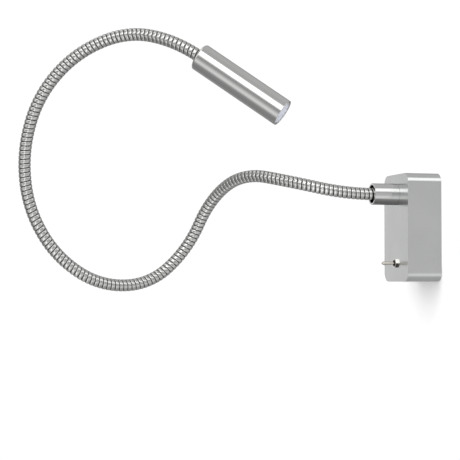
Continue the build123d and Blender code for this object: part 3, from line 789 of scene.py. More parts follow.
@dataclass
class WallBase:
    """Box on the wall with its collar, screws and cable inlet, in millimetres."""

    shop: Workshop
    width: float = 60.0
    height: float = 100.0
    depth: float = 33.0
    corner: float = 9.0
    corner_steps: int = 18
    wall: float = 2.5
    front_wall: float = 3.0
    edge: float = 0.3
    edge_steps: int = 6
    rim_edge: float = 0.2
    sharp_angle: float = 30.0
    screw_from_wall: float = 7.5
    screw_head: float = 5.6
    screw_shank: float = 3.0
    screw_length: float = 6.5
    screw_tip: float = 0.4
    screw_well: float = 5.8
    screw_hole: float = 3.2
    hex_socket: float = 2.0
    hex_depth: float = 1.2
    hex_chamfer: float = 0.1
    collar_height: float = 31.4
    collar_diameter: float = 20.0
    collar_bore: float = 16.6
    collar_length: float = 24.0
    collar_floor: float = 2.0
    collar_edge: float = 0.35
    collar_foot_edge: float = 0.15
    thread: float = 10.2
    nipple_end: float = -7.0
    inlet_height: float = 16.0
    inlet_bore: float = 6.5
    inlet_sleeve: float = 10.0
    inlet_flange: float = 14.0
    inlet_edge: float = 0.5
    flange_edge: float = 0.4
    plate: float = 2.0
    flange: float = 1.5

    def build(self) -> None:
        """Build and dress every piece of the base."""
        self.shop.fit(self.shell(), Slot.HOUSING, Body.BASE, "housing_shell")
        self.shop.fit(self.collar(), Slot.HOUSING, Body.BASE, "collar_tube", COLLAR_FINISH)
        self.shop.fit(self.nipple(), Slot.BRASS, Body.BASE, "base_nipple")
        self.shop.fit(self.grommet(), Slot.RUBBER, Body.BASE, "entry_grommet")
        for name, side in (("cover_screw_top", 1), ("cover_screw_bottom", -1)):
            self.shop.fit(self.cover_screw(name, side), Slot.SCREW, Body.BASE, "cover_screws")

    def shell(self) -> bpy.types.Object:
        """Make the box: rounded corners, a fine rounded front edge, open to the wall.

        Returns:
            The object.
        """
        layers = [(self.wall, -(self.depth - self.front_wall)), (self.wall, -self.rim_edge)]
        layers += [(self.wall - self.rim_edge, 0.0), (self.rim_edge, 0.0), (0.0, -self.rim_edge)]
        for step in range(self.edge_steps + 1):
            turn = pi / 2 * step / self.edge_steps
            layers.append((self.edge * (1 - cos(turn)), -(self.depth - self.edge) - self.edge * sin(turn)))
        rings = []
        for inset, y in layers:
            width, height = self.width - 2 * inset, self.height - 2 * inset
            outline = rounded_rectangle(width, height, self.corner - inset, self.corner_steps)
            rings.append([Vector((x, y, z)) for x, z in outline])
        draft = Draft()
        draft.skin(rings)
        box = draft.piece("housing")
        for side in (1, -1):
            carve(box, self.well_cutter(side))
        finish_edges(box, self.sharp_angle, weighted=True)
        return box

    def screw_place(self, side: int) -> Place:
        """Return the place of the cover screw in the top (1) or the bottom (-1), looking out."""
        return Place.looking((0.0, -self.screw_from_wall, side * self.height / 2), (0, 0, side))

    def well_cutter(self, side: int) -> bpy.types.Object:
        """Make the shape of a countersunk screw hole.

        Args:
            side: 1 for the top, -1 for the bottom.

        Returns:
            The object.
        """
        well, hole, over = self.screw_well / 2, self.screw_hole / 2, 1.0
        outline = [(well + over, over), (well, 0.0), (hole, hole - well), (hole, -self.wall - over)]
        return turned("well_cutter", self.screw_place(side), outline, segments=64)

    def cover_screw(self, name: str, side: int) -> bpy.types.Object:
        """Make a countersunk screw with a hexagon socket.

        Args:
            name: Piece's name.
            side: 1 for the top, -1 for the bottom.

        Returns:
            The object.
        """
        head, shank, tip = self.screw_head / 2, self.screw_shank / 2, self.screw_tip
        socket, chamfer = hexagon(self.hex_socket), self.hex_chamfer
        outline = [(shank - tip, -self.screw_length), (shank, -self.screw_length + tip), (shank, shank - head)]
        outline += [(head - 0.08, -0.12), (head, -0.04), (head - 0.05, 0.0)]
        outline += [(lambda a: socket(a) + chamfer, 0.0), (socket, -chamfer), (socket, -self.hex_depth)]
        return turned(name, self.screw_place(side), outline, segments=72)

    def collar(self) -> bpy.types.Object:
        """Make the collar: a turned tube with a floor and a rounded mouth.

        Returns:
            The object.
        """
        outer, bore, hole = self.collar_diameter / 2, self.collar_bore / 2, self.thread / 2
        outline = [(hole, 0.0), (outer, 0.0), (outer, self.collar_length), (bore, self.collar_length)]
        outline += [(bore, self.collar_floor), (hole, self.collar_floor)]
        edges = {1: self.collar_foot_edge, 2: self.collar_edge, 3: self.collar_edge}
        return turned("collar", self.front_place(), soften(outline, edges, steps=6), segments=144, closed=True)

    def front_place(self) -> Place:
        """Return the place of the collar's foot on the front of the box, looking out."""
        return Place.looking((0.0, -self.depth, self.collar_height), (0, -1, 0))

    def nipple(self) -> bpy.types.Object:
        """Make the nipple that holds the neck in the collar."""
        outline = nipple_outline(self.collar_floor, self.nipple_end, 1)
        return turned("collar_nipple", self.front_place(), outline, segments=64, closed=True)

    def grommet(self) -> bpy.types.Object:
        """Make the grommet of the cable inlet, with a rounded mouth.

        Returns:
            The object.
        """
        bore, sleeve, rim = self.inlet_bore / 2, self.inlet_sleeve / 2, self.inlet_flange / 2
        top = self.plate + self.flange
        outline = [(bore, 0.0), (sleeve, 0.0), (sleeve, self.plate), (rim, self.plate), (rim, top), (bore, top)]
        softened = soften(outline, {0: self.inlet_edge, 4: self.flange_edge, 5: self.inlet_edge})
        place = Place.looking((0.0, 0.0, self.inlet_height), (0, -1, 0))
        return turned("inlet_grommet", place, softened, segments=64, closed=True)


def nipple_outline(shoulder: float, thread_end: float, way: int) -> list[tuple[float, float]]:
    """Return the outline of a nipple: a threaded tube with a wider sleeve around the neck.

    Args:
        shoulder: Height where the sleeve starts.
        thread_end: Height where the thread ends.
        way: 1 where the sleeve reaches up from the shoulder, -1 where it reaches down.

    Returns:
        Its outline, which closes into a loop.
    """
    bore, thread, sleeve, grip, lip = 2.2, 5.0, 7.0, 5.85, 0.25
    mouth, floor = shoulder + way * 9.0, shoulder + way * 1.2
    outline = [(bore, thread_end), (thread, thread_end), (thread, shoulder), (sleeve, shoulder)]
    outline += [(sleeve, mouth), (grip, mouth), (grip, floor), (bore, floor)]
    return soften(outline, {4: lip, 5: lip})


@dataclass
class ToggleSwitch:
    """Toggle in the front: hexagon nut, bushing and bat lever, in millimetres."""

    shop: Workshop
    height: float = -32.9
    front: float = -33.0
    nut_flats: float = 8.0
    nut_thickness: float = 2.0
    nut_chamfer_circle: float = 7.7
    chamfer_tilt: float = 30.0
    bushing: float = 6.35
    bushing_bore: float = 5.2
    bushing_proud: float = 0.2
    bushing_play: float = 0.1
    front_wall: float = 3.0
    lever_tilt: float = 11.0
    pivot_depth: float = 2.0
    ball: float = 4.4
    root: float = 2.0
    tip: float = 3.5
    end: float = 1.2
    length: float = 15.6
    point_length: float = 1.8

    def build(self) -> None:
        """Build and dress the nut, the bushing and the lever."""
        self.shop.fit(self.nut(), Slot.SCREW, Body.BASE, "toggle_nut", NUT_FINISH)
        self.shop.fit(self.collar(), Slot.SCREW, Body.BASE, "toggle_bushing", BUSHING_SHADE_FINISH)
        self.shop.fit(self.lever(), Slot.SCREW, Body.TOGGLE, "toggle_lever", LEVER_FINISH)

    def place(self) -> Place:
        """Return the place of the switch on the front, looking out."""
        return Place.looking((0.0, self.front, self.height), (0, -1, 0))

    def nut(self) -> bpy.types.Object:
        """Make the nut, with its outer corners chamfered as a turned cone cuts them.

        Returns:
            The object.
        """
        flats, circle = hexagon(self.nut_flats), self.nut_chamfer_circle / 2
        slope = sin(radians(self.chamfer_tilt)) / cos(radians(self.chamfer_tilt))
        hole, top, lip = self.bushing / 2 + self.bushing_play, self.nut_thickness, 0.15
        outline: list[tuple[Measure, Measure]] = [(hole, 0.0), (flats, 0.0)]
        outline.append((flats, lambda angle: top - max(0.0, flats(angle) - circle) * slope))
        outline += [(circle, top), (hole + lip, top), (hole, top - lip)]
        return turned("toggle_hex_nut", self.place(), outline, segments=144, closed=True)

    def collar(self) -> bpy.types.Object:
        """Make the threaded bushing that stands just proud of the nut.

        Returns:
            The object.
        """
        outer, bore = self.bushing / 2, self.bushing_bore / 2
        top = self.nut_thickness + self.bushing_proud
        outline = [(bore, -self.front_wall), (outer, -self.front_wall), (outer, top), (bore, top)]
        return turned("toggle_collar", self.place(), soften(outline, {2: 0.12, 3: 0.2}), closed=True)

    def lever(self) -> bpy.types.Object:
        """Make the bat lever: a ball, a slim neck, a thicker end and a blunt point.

        Returns:
            The object.
        """
        tilt = radians(self.lever_tilt)
        pivot = (0.0, self.front + self.pivot_depth, self.height)
        place = Place.looking(pivot, (-sin(tilt), -cos(tilt), 0.0))
        ball, root, tip, end = (size / 2 for size in (self.ball, self.root, self.tip, self.end))
        shoulder = self.length - self.point_length
        outline = [(ball * cos(radians(turn)), ball * sin(radians(turn))) for turn in range(-45, 61, 15)]
        outline += [(root, ball), (root + 0.02, ball * 1.25), (tip - 0.02, shoulder - 0.5)]
        outline += [(tip, shoulder - 0.2), (tip - 0.02, shoulder), (tip - 0.12, shoulder + 0.2)]
        outline += [(end + 0.15, self.length - 0.2), (end, self.length - 0.05), (end - 0.2, self.length)]
        return turned("toggle_bat_lever", place, outline, segments=64)


@dataclass
class NeckRoute:
    """Middle line of the neck: plain arcs between short straight gaps, in millimetres.

    Attributes:
        headings: Climb and sideways lean at each end of an arc, in degrees.
        hinge_reach: Distance to each side of a joint at which two points of the middle line are worked out.
    """

    mouth: Point = (0.0, -57.0, 31.4)
    pitch: float = 51.3
    gap: float = 1.6
    hinge_reach: float = 16.0
    headings: tuple[tuple[float, float], ...] = (
        *((0, 0), (13, -17), (16, -46), (-47, -55), (-69, -15), (-42, 7), (-1, 11), (34, 6)),
        *((60, 7), (84, 7), (104, 13), (129, 21), (156, 23), (198, 39), (218, 22)),
    )
    arcs: list[tuple[Vector, Vector, Vector, float]] = field(default_factory=list)

    def __post_init__(self) -> None:
        """Lay the arcs end to end from the collar's mouth."""
        spot = Vector(self.mouth)
        for before, after in zip(self.headings, self.headings[1:]):
            start, end = self.direction(*before), self.direction(*after)
            angle = acos(start.dot(end))
            inward = (end - start * cos(angle)).normalized()
            radius = self.bend / angle
            self.arcs.append((spot, start, inward, radius))
            spot = spot + (start * sin(angle) + inward * (1 - cos(angle))) * radius + end * self.gap

    @staticmethod
    def direction(climb: float, lean: float) -> Vector:
        """Return the neck's direction from its climb and sideways lean in degrees."""
        a, b = radians(climb), radians(lean)
        return Vector((sin(b), -cos(b) * cos(a), cos(b) * sin(a)))

    @property
    def bend(self) -> float:
        """Return the length of one arc."""
        return self.pitch - self.gap

    @property
    def stretches(self) -> int:
        """Return how many stretches the neck has."""
        return len(self.headings) - 1

    @property
    def end(self) -> float:
        """Return the distance from the collar's mouth to the back of the head."""
        return self.stretches * self.pitch - self.gap

    def place(self, distance: float) -> Place:
        """Return the place across the neck at a distance from the collar's mouth.

        Args:
            distance: Distance along the middle line; beyond its ends the line runs on straight.

        Returns:
            The place.
        """
        number = min(max(int(distance // self.pitch), 0), self.stretches - 1)
        spot, start, inward, radius = self.arcs[number]
        local = distance - number * self.pitch
        turn = min(max(local, 0.0), self.bend) / radius
        along = start * cos(turn) + inward * sin(turn)
        middle = spot + (start * sin(turn) + inward * (1 - cos(turn))) * radius
        return Place.looking(middle + along * (local - turn * radius), along)

    def cuts(self, root: float, tail: float) -> list[float]:
        """Return where pieces that each cross one joint start and end, from mid-stretch to mid-stretch.

        Args:
            root: Where the first one starts.
            tail: How far the last one reaches past the back of the head.

        Returns:
            Distances from the collar's mouth.
        """
        middles = [(number + 0.5) * self.pitch for number in range(1, self.stretches - 1)]
        return [root, *middles, self.end + tail]

    def body(self, number: int) -> str:
        """Return the name of the body that carries a stretch of the neck, counted from the base."""
        ends = {1: Body.BASE.value, self.stretches: Body.HEAD.value}
        return ends.get(number, f"neck_{number:02d}")

    def bend_piece(self, piece: bpy.types.Object, number: int) -> None:
        """Bake a piece's placement into its mesh; the joint's ends and body are worked out but not used.

        Args:
            piece: Object that crosses the joint.
            number: Joint's number from the base.
        """
        middle = number * self.pitch - self.gap / 2
        start, end = (self.place(middle + side * self.hinge_reach).origin * MM for side in (-1, 1))
        self.body(number)
        tuple(start)
        tuple(end)
        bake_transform(piece)


@dataclass
class BendableNeck:
    """Ribbed metal hose: one winding rib with a narrow groove darkened by painted shade, in millimetres.

    Attributes:
        profile: Share of a rib's pitch and share of the groove's depth, along one rib.
    """

    shop: Workshop
    route: NeckRoute
    diameter: float = 11.5
    groove: float = 0.7
    rib_pitch: float = 4.13
    around: int = 60
    root_reach: float = 20.7
    tail_reach: float = 7.7
    profile: tuple[tuple[float, float], ...] = (
        *((0.0, 1.0), (0.05, 0.9), (0.09, 0.45), (0.16, 0.18), (0.27, 0.05), (0.42, 0.005)),
        *((0.58, 0.005), (0.73, 0.05), (0.84, 0.18), (0.91, 0.45), (0.95, 0.9)),
    )

    def build(self) -> None:
        """Build the neck in pieces, each crossing one joint."""
        cuts = self.route.cuts(-self.root_reach, self.tail_reach)
        rows = [round((cut + self.root_reach) / self.rib_pitch) * len(self.profile) for cut in cuts]
        for number, (first, last) in enumerate(zip(rows, rows[1:]), 1):
            piece = self.piece(f"neck_hose_{number:02d}", first, last)
            solids = (1, 2) if number == 1 else (number + 1,)
            self.shop.dress(piece, Slot.HOSE, [f"hose_stretch_{solid:02d}" for solid in solids])
            self.route.bend_piece(piece, number)

    def spot(self, row: int, step: int) -> Vector:
        """Return a point of the winding surface.

        Args:
            row: Row along the winding.
            step: Step around, up to a whole turn.

        Returns:
            The point in millimetres.
        """
        turn, part = divmod(row, len(self.profile))
        share, depth = self.profile[part]
        distance = (turn + share + step / self.around) * self.rib_pitch - self.root_reach
        radius = self.diameter / 2 - depth * self.groove
        return self.route.place(distance).point(radius, 2 * pi * step / self.around)

    def piece(self, name: str, first: int, last: int) -> bpy.types.Object:
        """Make one piece of the neck.

        Args:
            name: Piece's name.
            first: First row along the winding.
            last: Last row.

        Returns:
            The object.
        """
        turn = len(self.profile)
        draft = Draft()
        keys = [(row, step) for row in range(first, last + 1) for step in range(self.around)]
        keys += [(row, 0) for row in range(last + 1, last + turn + 1)]
        numbers = {key: number for number, key in enumerate(keys)}
        draft.points = [self.spot(*key) for key in keys]
        # Depth of each point, which the painted shade in the grooves reads.
        draft.hollows = [self.profile[row % turn][1] for row, _ in keys]
        for row in range(first, last):
            for step in range(self.around):
                corners = [(row, step), (row, step + 1), (row + 1, step + 1), (row + 1, step)]
                corners = [(r + turn, 0) if s == self.around else (r, s) for r, s in corners]
                draft.faces.append(tuple(numbers[corner] for corner in corners))
        return draft.piece(name, sharp_angle=80.0)


@dataclass
class LightLead:
    """Cable that runs inside the neck to the light board, in millimetres."""

    shop: Workshop
    route: NeckRoute
    diameter: float = 3.0
    step: float = 5.0
    around: int = 10
    board_depth: float = 9.2
    board_top: float = 8.0
    turn_radius: float = 10.53
    turn_steps: int = 8
    head_reach: float = 60.0

    def build(self) -> None:
        """Build the lead in pieces, each crossing one joint."""
        cuts = self.route.cuts(0.0, self.head_reach)
        for number, (first, last) in enumerate(zip(cuts, cuts[1:]), 1):
            places = self.inlet() if number == 1 else []
            steps = ceil((last - first) / self.step)
            places += [self.route.place(first + (last - first) * step / steps) for step in range(steps + 1)]
            piece = self.tube(f"light_lead_{number:02d}", places)
            self.shop.dress(piece, Slot.SHEATH, ["led_lead"])
            self.route.bend_piece(piece, number)

    def inlet(self) -> list[Place]:
        """Lead the cable through the box: up from the board and out through the collar.

        Returns:
            Places along its middle line.
        """
        depth, radius = self.board_depth, self.turn_radius
        places = [Place.looking((0.0, -depth, self.board_top), (0, 0, 1))]
        for step in range(self.turn_steps + 1):
            turn = pi / 2 * step / self.turn_steps
            spot = (0.0, -depth - radius * (1 - cos(turn)), self.route.mouth[2] - radius + radius * sin(turn))
            places.append(Place.looking(spot, (0.0, -sin(turn), cos(turn))))
        return places

    def tube(self, name: str, places: Sequence[Place]) -> bpy.types.Object:
        """Make a round tube through a row of places.

        Args:
            name: Piece's name.
            places: Places along its middle line.

        Returns:
            The object.
        """
        draft = Draft()
        angles = [2 * pi * step / self.around for step in range(self.around)]
        draft.skin([[place.point(self.diameter / 2, angle) for angle in angles] for place in places])
        return draft.piece(name)


@dataclass
class BarrelHead:
    """Slim barrel with its fitting, lens and reflector, in millimetres from its back."""

    shop: Workshop
    route: NeckRoute
    diameter: float = 25.0
    length: float = 92.0
    wall: float = 1.25
    back_edge: float = 2.0
    rim_edge: float = 0.3
    back_thickness: float = 14.0
    socket: float = 14.4
    socket_depth: float = 9.0
    socket_edge: float = 0.15
    thread: float = 10.2
    fitting_end: float = 18.0
    lens_recess: float = 0.3
    lens_thickness: float = 1.6
    lens_diameter: float = 22.46
    lens_back_edge: float = 0.2
    lens_front_edge: float = 0.25
    bowl_length: float = 11.0
    bowl_back: float = 8.0
    bowl_wall: float = 0.8
    bowl_flange: float = 1.2
    bowl_steps: int = 14
    bowl_curve: float = 0.62

    def build(self) -> None:
        """Build and dress the pieces of the head."""
        self.shop.fit(self.barrel(), Slot.HEAD, Body.HEAD, "head_barrel")
        self.shop.fit(self.fitting(), Slot.HEAD, Body.HEAD, "head_nipple")
        self.shop.fit(self.lens(), Slot.LENS, Body.HEAD, "front_lens")
        self.shop.fit(self.mirror(), Slot.REFLECTOR, Body.HEAD, "reflector")

    def place(self) -> Place:
        """Return the place of the barrel's back, looking to the lens."""
        return self.route.place(self.route.end)

    def barrel(self) -> bpy.types.Object:
        """Make the barrel: a turned tube with a softly rounded back and a thin rim.

        Returns:
            The object.
        """
        outer, thread, socket = self.diameter / 2, self.thread / 2, self.socket / 2
        bore = outer - self.wall
        outline = [(thread, self.socket_depth), (socket, self.socket_depth), (socket, 0.0), (outer, 0.0)]
        outline += [(outer, self.length), (bore, self.length)]
        outline += [(bore, self.back_thickness), (thread, self.back_thickness)]
        edges = {2: self.socket_edge, 3: self.back_edge, 4: self.rim_edge, 5: self.rim_edge}
        return turned("barrel", self.place(), soften(outline, edges, steps=8), segments=192, closed=True)

    def fitting(self) -> bpy.types.Object:
        """Make the fitting that holds the neck in the barrel's back."""
        outline = nipple_outline(self.socket_depth, self.fitting_end, -1)
        return turned("neck_fitting", self.place(), outline, closed=True)

    def lens(self) -> bpy.types.Object:
        """Make the lens: a flat disc with softened edges.

        Returns:
            The object.
        """
        radius, front = self.lens_diameter / 2, self.length - self.lens_recess
        back = front - self.lens_thickness
        outline = [(radius - self.lens_back_edge, back), (radius, back + self.lens_back_edge)]
        outline += [(radius, front - self.lens_front_edge), (radius - self.lens_front_edge, front)]
        return turned("lens", self.place(), outline, segments=128)

    def mirror(self) -> bpy.types.Object:
        """Make the reflector: a bright bowl that opens towards the lens.

        Returns:
            The object.
        """
        back = self.length - self.lens_recess - self.lens_thickness - self.bowl_length
        rim, throat = self.lens_diameter / 2, self.bowl_back / 2
        mouth = rim - self.bowl_wall
        shares = [step / self.bowl_steps for step in range(self.bowl_steps + 1)]
        inner = [
            (throat + (mouth - throat) * share**self.bowl_curve, back + self.bowl_length * share)
            for share in shares
        ]
        outer = [(rim, back + self.bowl_length), (rim, back + self.bowl_length - self.bowl_flange)]
        outer += [(radius + self.bowl_wall, height) for radius, height in reversed(inner[:-3])]
        return turned("reflector_bowl", self.place(), inner + outer, closed=True)


@dataclass
class HiddenFittings:
    """Solids of the part that are shown as they are, each with its own finish."""

    shop: Workshop

    def build(self) -> None:
        """Give every solid that stays the finish of its slot."""
        for name, node in sorted(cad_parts.items()):
            for place in node.material_slots:
                place.material = self.shop.material(FINISHES[Slot(place.material.name.split(".")[0])])
            log.info("%s keeps its solid", name)


@dataclass
class Room:
    """What lights dull surfaces, and the soft bands and bright window that polished metal shows.

    A direction is told by the X, Y and Z of its unit vector, and by its angle around the Y axis in degrees, from
    +X (0) up to +Z (90). An effect comes or goes over a range of X, Y or Z. A strength of 1 is white.

    Attributes:
        light: Brightness that dull surfaces get.
        lean: How much more of it comes along X, Y and Z.
        beside: Angle and strength of each band for directions along the wall.
        facing: The same for directions out of the wall.
        facing_to_beside: Range of Y over which the second row gives way to the first.
        window_low: Range of Y over which the window's lower edge climbs, and its angle at each end.
        window_high: The same for its upper edge, by the size of Y.
        window_edge: Range of Y over which its lower edge softens, and the share of its height where it starts then.
        window_rise: Share of its height from which it is whole.
        window_fall: Shares of its height over which it fades at the top.
        bright_x: Range of X over which a brighter part of the room starts.
        bright_y: Ranges of Y over which that part starts and ends.
        bright_gain: How much brighter it is.
        haze: Strength that its bands are evened towards, and how far.
        card_x: Range of X over which the pale card at the side ends.
        card_y: Range of Y over which it ends.
        card_z: Range of Z over which it starts.
    """

    light: float = 1.15
    lean: Point = (0.5, 0.0, 0.7)
    beside: tuple[tuple[float, float], ...] = (
        *((-180, 0.45), (-130, 0.6), (-108, 0.66), (-77, 0.7), (-64, 0.74), (-54, 1.0)),
        *((-42, 1.3), (-29, 1.35), (-18, 1.02), (-6, 0.88), (4, 0.92), (14, 0.78)),
        *((60, 0.78), (86, 0.88), (121, 0.82), (143, 0.5), (160, 0.42), (180, 0.42)),
    )
    facing: tuple[tuple[float, float], ...] = (
        *((-180, 0.5), (-137, 0.43), (-110, 0.45), (-95, 0.48), (-84, 0.62), (-74, 0.88)),
        *((-60, 1.27), (-46, 1.4), (-30, 1.23), (-18, 0.95), (-8, 0.72), (2, 0.55)),
        *((10, 0.58), (20, 0.8), (121, 0.82), (143, 0.5), (160, 0.42), (180, 0.5)),
    )
    facing_to_beside: tuple[float, float] = (-0.5, 0.0)
    window_low: tuple[float, ...] = (-0.5, -0.27, 17.5, 28.0)
    window_high: tuple[float, ...] = (0.12, 0.28, 49.0, 61.0)
    window_edge: tuple[float, ...] = (0.0, 0.2, -0.1, -0.25)
    window_rise: float = 0.13
    window_fall: tuple[float, float] = (0.85, 1.12)
    window_strength: float = 2.3
    bright_x: tuple[float, float] = (-0.7, -0.4)
    bright_y: tuple[tuple[float, float], tuple[float, float]] = ((-0.5, -0.4), (-0.2, -0.1))
    bright_gain: float = 1.1
    haze: tuple[float, float] = (0.75, 0.2)
    card_x: tuple[float, float] = (-0.93, -0.87)
    card_y: tuple[float, float] = (-0.18, -0.08)
    card_z: tuple[float, float] = (-0.3, -0.15)
    card_strength: float = 1.17

    def build(self) -> None:
        """Make the world: even light, a white background, and bands that only metal shows."""
        room = bpy.data.worlds.new("room")
        room.use_nodes = True
        sheet = NodeSheet(room.node_tree)
        even, banded, white = (
            sheet.add("ShaderNodeBackground", Color=WHITE, Strength=strength).outputs[0]
            for strength in (self.daylight(sheet), self.bands(sheet), 1.0)
        )
        path = sheet.add("ShaderNodeLightPath").outputs
        seen = sheet.math("MAXIMUM", path["Is Camera Ray"], path["Is Transmission Ray"])
        lit = sheet.join("ShaderNodeMixShader", path["Is Glossy Ray"], even, banded)
        sheet.add("ShaderNodeOutputWorld", Surface=sheet.join("ShaderNodeMixShader", seen, lit, white))
        bpy.context.scene.world = room

    def daylight(self, sheet: NodeSheet) -> Socket:
        """Work out the light that falls on dull surfaces: more from above than from below.

        Args:
            sheet: World's node sheet.

        Returns:
            Output with the brightness.
        """
        lean = sheet.span("DOT_PRODUCT", sheet.place("Generated"), self.lean)
        return sheet.product(sheet.math("ADD", lean, 1.0), self.light)

    def bands(self, sheet: NodeSheet) -> Socket:
        """Work out the brightness that metal shows for a direction: bands, the window and a side card.

        Args:
            sheet: World's node sheet.

        Returns:
            Output with the brightness.
        """
        x, y, z = sheet.axes(sheet.place("Generated"))
        angle = sheet.product(sheet.math("ARCTAN2", z, x), 180 / pi)
        turn = sheet.ramp(angle, -180.0, 180.0, way="LINEAR")
        beside, facing = (self.stripes(sheet, turn, stops) for stops in (self.beside, self.facing))
        base = sheet.blend(facing, beside, sheet.ramp(y, *self.facing_to_beside))
        starting, ending = self.bright_y
        bright = sheet.product(sheet.ramp(y, *starting), sheet.ramp(y, *ending, 1.0, 0.0))
        bright = sheet.product(bright, sheet.ramp(x, *self.bright_x))
        base = sheet.blend(base, self.haze[0], sheet.product(bright, self.haze[1]))
        low = sheet.ramp(y, *self.window_low, "LINEAR")
        high = sheet.ramp(sheet.math("ABSOLUTE", y), *self.window_high)
        share = sheet.math("DIVIDE", sheet.math("SUBTRACT", angle, low), sheet.math("SUBTRACT", high, low))
        rise = sheet.ramp(share, sheet.ramp(y, *self.window_edge), self.window_rise)
        window = sheet.product(rise, sheet.ramp(share, *self.window_fall, 1.0, 0.0))
        lit = sheet.blend(base, self.window_strength, window)
        lit = sheet.product(lit, sheet.math("MULTIPLY_ADD", bright, self.bright_gain, 1.0))
        card = sheet.product(sheet.ramp(x, *self.card_x, 1.0, 0.0), sheet.ramp(y, *self.card_y, 1.0, 0.0))
        card = sheet.product(card, sheet.ramp(z, *self.card_z))
        return sheet.blend(lit, self.card_strength, card)

    @staticmethod
    def stripes(sheet: NodeSheet, turn: Socket, stops: Sequence[tuple[float, float]]) -> Socket:
        """Add a row of soft stripes around the Y axis.

        Args:
            sheet: World's node sheet.
            turn: Share of the whole turn, from -180 to 180 degrees.
            stops: Angle in degrees and strength of each stripe.

        Returns:
            Output with the brightness.
        """
        ramp = sheet.add("ShaderNodeValToRGB", Fac=turn)
        ramp.color_ramp.interpolation = "EASE"
        strongest = max(strength for _, strength in stops)
        elements = ramp.color_ramp.elements
        for number, (angle, strength) in enumerate(stops):
            stop = elements[number] if number < 2 else elements.new(1.0)
            stop.position = (angle + 180) / 360
            stop.color = (strength / strongest,) * 3 + (1.0,)
        return sheet.product(ramp.outputs["Color"], strongest)


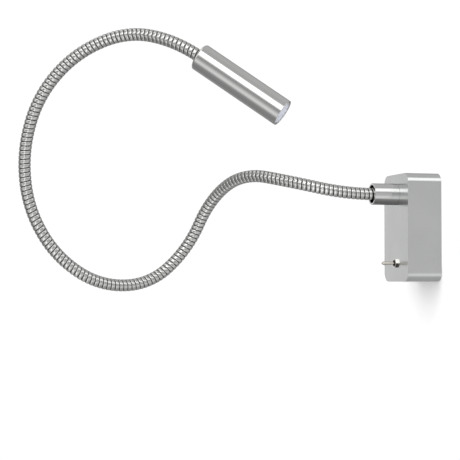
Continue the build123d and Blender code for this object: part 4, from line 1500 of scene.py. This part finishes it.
@dataclass
class Studio:
    """White wall, lamps and camera, in metres.

    Attributes:
        wall_glow: Brightness of the wall to the eye, away from the box.
        shadow_middle: Middle of the part of the wall that shows the shadow under the box.
        shadow_reach: Distances over which that part fades out.
        shadow_top: Heights over which it fades out behind the box.
    """

    camera_spot: Point = (1.309, -0.5517, -0.048)
    camera_azimuth: float = 74.702
    camera_pitch: float = 1.889
    focal_pixels: float = 1500.0
    wall_gap: float = 0.0006
    wall_albedo: float = 0.95
    wall_glow: float = 1.02
    shadow_middle: Point = (-0.01, 0.0, -0.06)
    shadow_reach: tuple[float, float] = (0.11, 0.17)
    shadow_top: tuple[float, float] = (-0.052, -0.03)

    def build(self) -> None:
        """Set up the view, the wall, the lamps and the camera."""
        bpy.context.scene.view_settings.view_transform = "Standard"
        self.wall()
        self.lamp("key_lamp", (0.35, -0.75, 1.15), (0.0, -0.05, 0.0), 0.5, 2.0)
        self.lamp("side_lamp", (1.8, -0.9, 0.4), (0.0, -0.1, 0.05), 0.9, 1.0)
        self.camera()

    def camera(self) -> None:
        """Place the camera at the photograph's viewpoint."""
        azimuth, pitch = radians(self.camera_azimuth), radians(self.camera_pitch)
        level = Vector((-sin(azimuth), cos(azimuth), 0.0))
        right = Vector((cos(azimuth), sin(azimuth), 0.0))
        up = Vector((0.0, 0.0, 1.0))
        forward = level * cos(pitch) + up * sin(pitch)
        top = up * cos(pitch) - level * sin(pitch)
        lens = bpy.data.cameras.new("camera")
        lens.sensor_fit = "HORIZONTAL"
        lens.sensor_width = SENSOR_WIDTH
        lens.lens = self.focal_pixels / IMAGE_WIDTH * SENSOR_WIDTH
        lens.clip_end = 30.0
        viewer = bpy.data.objects.new("camera", lens)
        turn = Matrix((right, top, -forward)).transposed().to_4x4()
        viewer.matrix_world = Matrix.Translation(self.camera_spot) @ turn
        bpy.context.scene.collection.objects.link(viewer)
        bpy.context.scene.camera = viewer

    def wall(self) -> None:
        """Make the wall: white to the eye, see-through from behind, with the soft shadow under the box."""
        left, right, side, y = -7.0, 1.5, 2.0, self.wall_gap
        mesh = bpy.data.meshes.new("wall")
        corners = [(left, y, -side), (right, y, -side), (right, y, side), (left, y, side)]
        mesh.from_pydata(corners, [], [(0, 1, 2, 3)])
        wall = bpy.data.objects.new("wall", mesh)
        wall.visible_glossy = False
        bpy.context.scene.collection.objects.link(wall)
        paint = bpy.data.materials.new("wall_paint")
        paint.use_nodes = True
        self.fill_paint(NodeSheet(paint.node_tree))
        wall.data.materials.append(paint)

    def fill_paint(self, sheet: NodeSheet) -> None:
        """Mix the wall's paint: dull near the shadow, where lamps light it, and plain white elsewhere.

        Args:
            sheet: Material's node sheet.
        """
        place = sheet.place()
        near = sheet.ramp(sheet.span("DISTANCE", place, self.shadow_middle), *self.shadow_reach, 1.0, 0.0)
        near = sheet.product(near, sheet.ramp(sheet.axes(place)[2], *self.shadow_top, 1.0, 0.0))
        dark, dull = (
            sheet.add("ShaderNodeBsdfDiffuse", Color=colour).outputs[0]
            for colour in (BLACK, (self.wall_albedo,) * 3 + (1.0,))
        )
        path = sheet.add("ShaderNodeLightPath").outputs
        seen = sheet.math("MAXIMUM", path["Is Camera Ray"], path["Is Glossy Ray"])
        seen = sheet.math("MAXIMUM", seen, path["Is Transmission Ray"])
        glow = sheet.product(sheet.math("SUBTRACT", self.wall_glow, near), seen)
        lit = sheet.join("ShaderNodeMixShader", near, dark, dull)
        shown = sheet.add("ShaderNodeEmission", Strength=glow).outputs[0]
        front = sheet.join("ShaderNodeAddShader", lit, shown)
        clear = sheet.add("ShaderNodeBsdfTransparent").outputs[0]
        back = sheet.add("ShaderNodeNewGeometry").outputs["Backfacing"]
        sheet.add("ShaderNodeOutputMaterial", Surface=sheet.join("ShaderNodeMixShader", back, front, clear))

    def lamp(self, name: str, spot: Point, aim: Point, size: float, power: float) -> None:
        """Hang a square soft lamp that metal doesn't show.

        Args:
            name: Lamp's name.
            spot: Where it hangs.
            aim: Point that it looks at.
            size: Width of its face.
            power: Power in watts.
        """
        light = bpy.data.lights.new(name, "AREA")
        light.energy, light.size = power, size
        lamp = bpy.data.objects.new(name, light)
        lamp.location = spot
        lamp.rotation_euler = (Vector(aim) - Vector(spot)).to_track_quat("-Z", "Y").to_euler()
        lamp.visible_glossy = False
        bpy.context.scene.collection.objects.link(lamp)


def main() -> None:
    logging.basicConfig(level=logging.INFO, format="%(message)s")
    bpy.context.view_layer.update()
    Room().build()
    Studio().build()
    shop = Workshop()
    route = NeckRoute()
    HiddenFittings(shop).build()
    WallBase(shop).build()
    ToggleSwitch(shop).build()
    BendableNeck(shop, route).build()
    LightLead(shop, route).build()
    BarrelHead(shop, route).build()


if __name__ == "__main__":
    main()
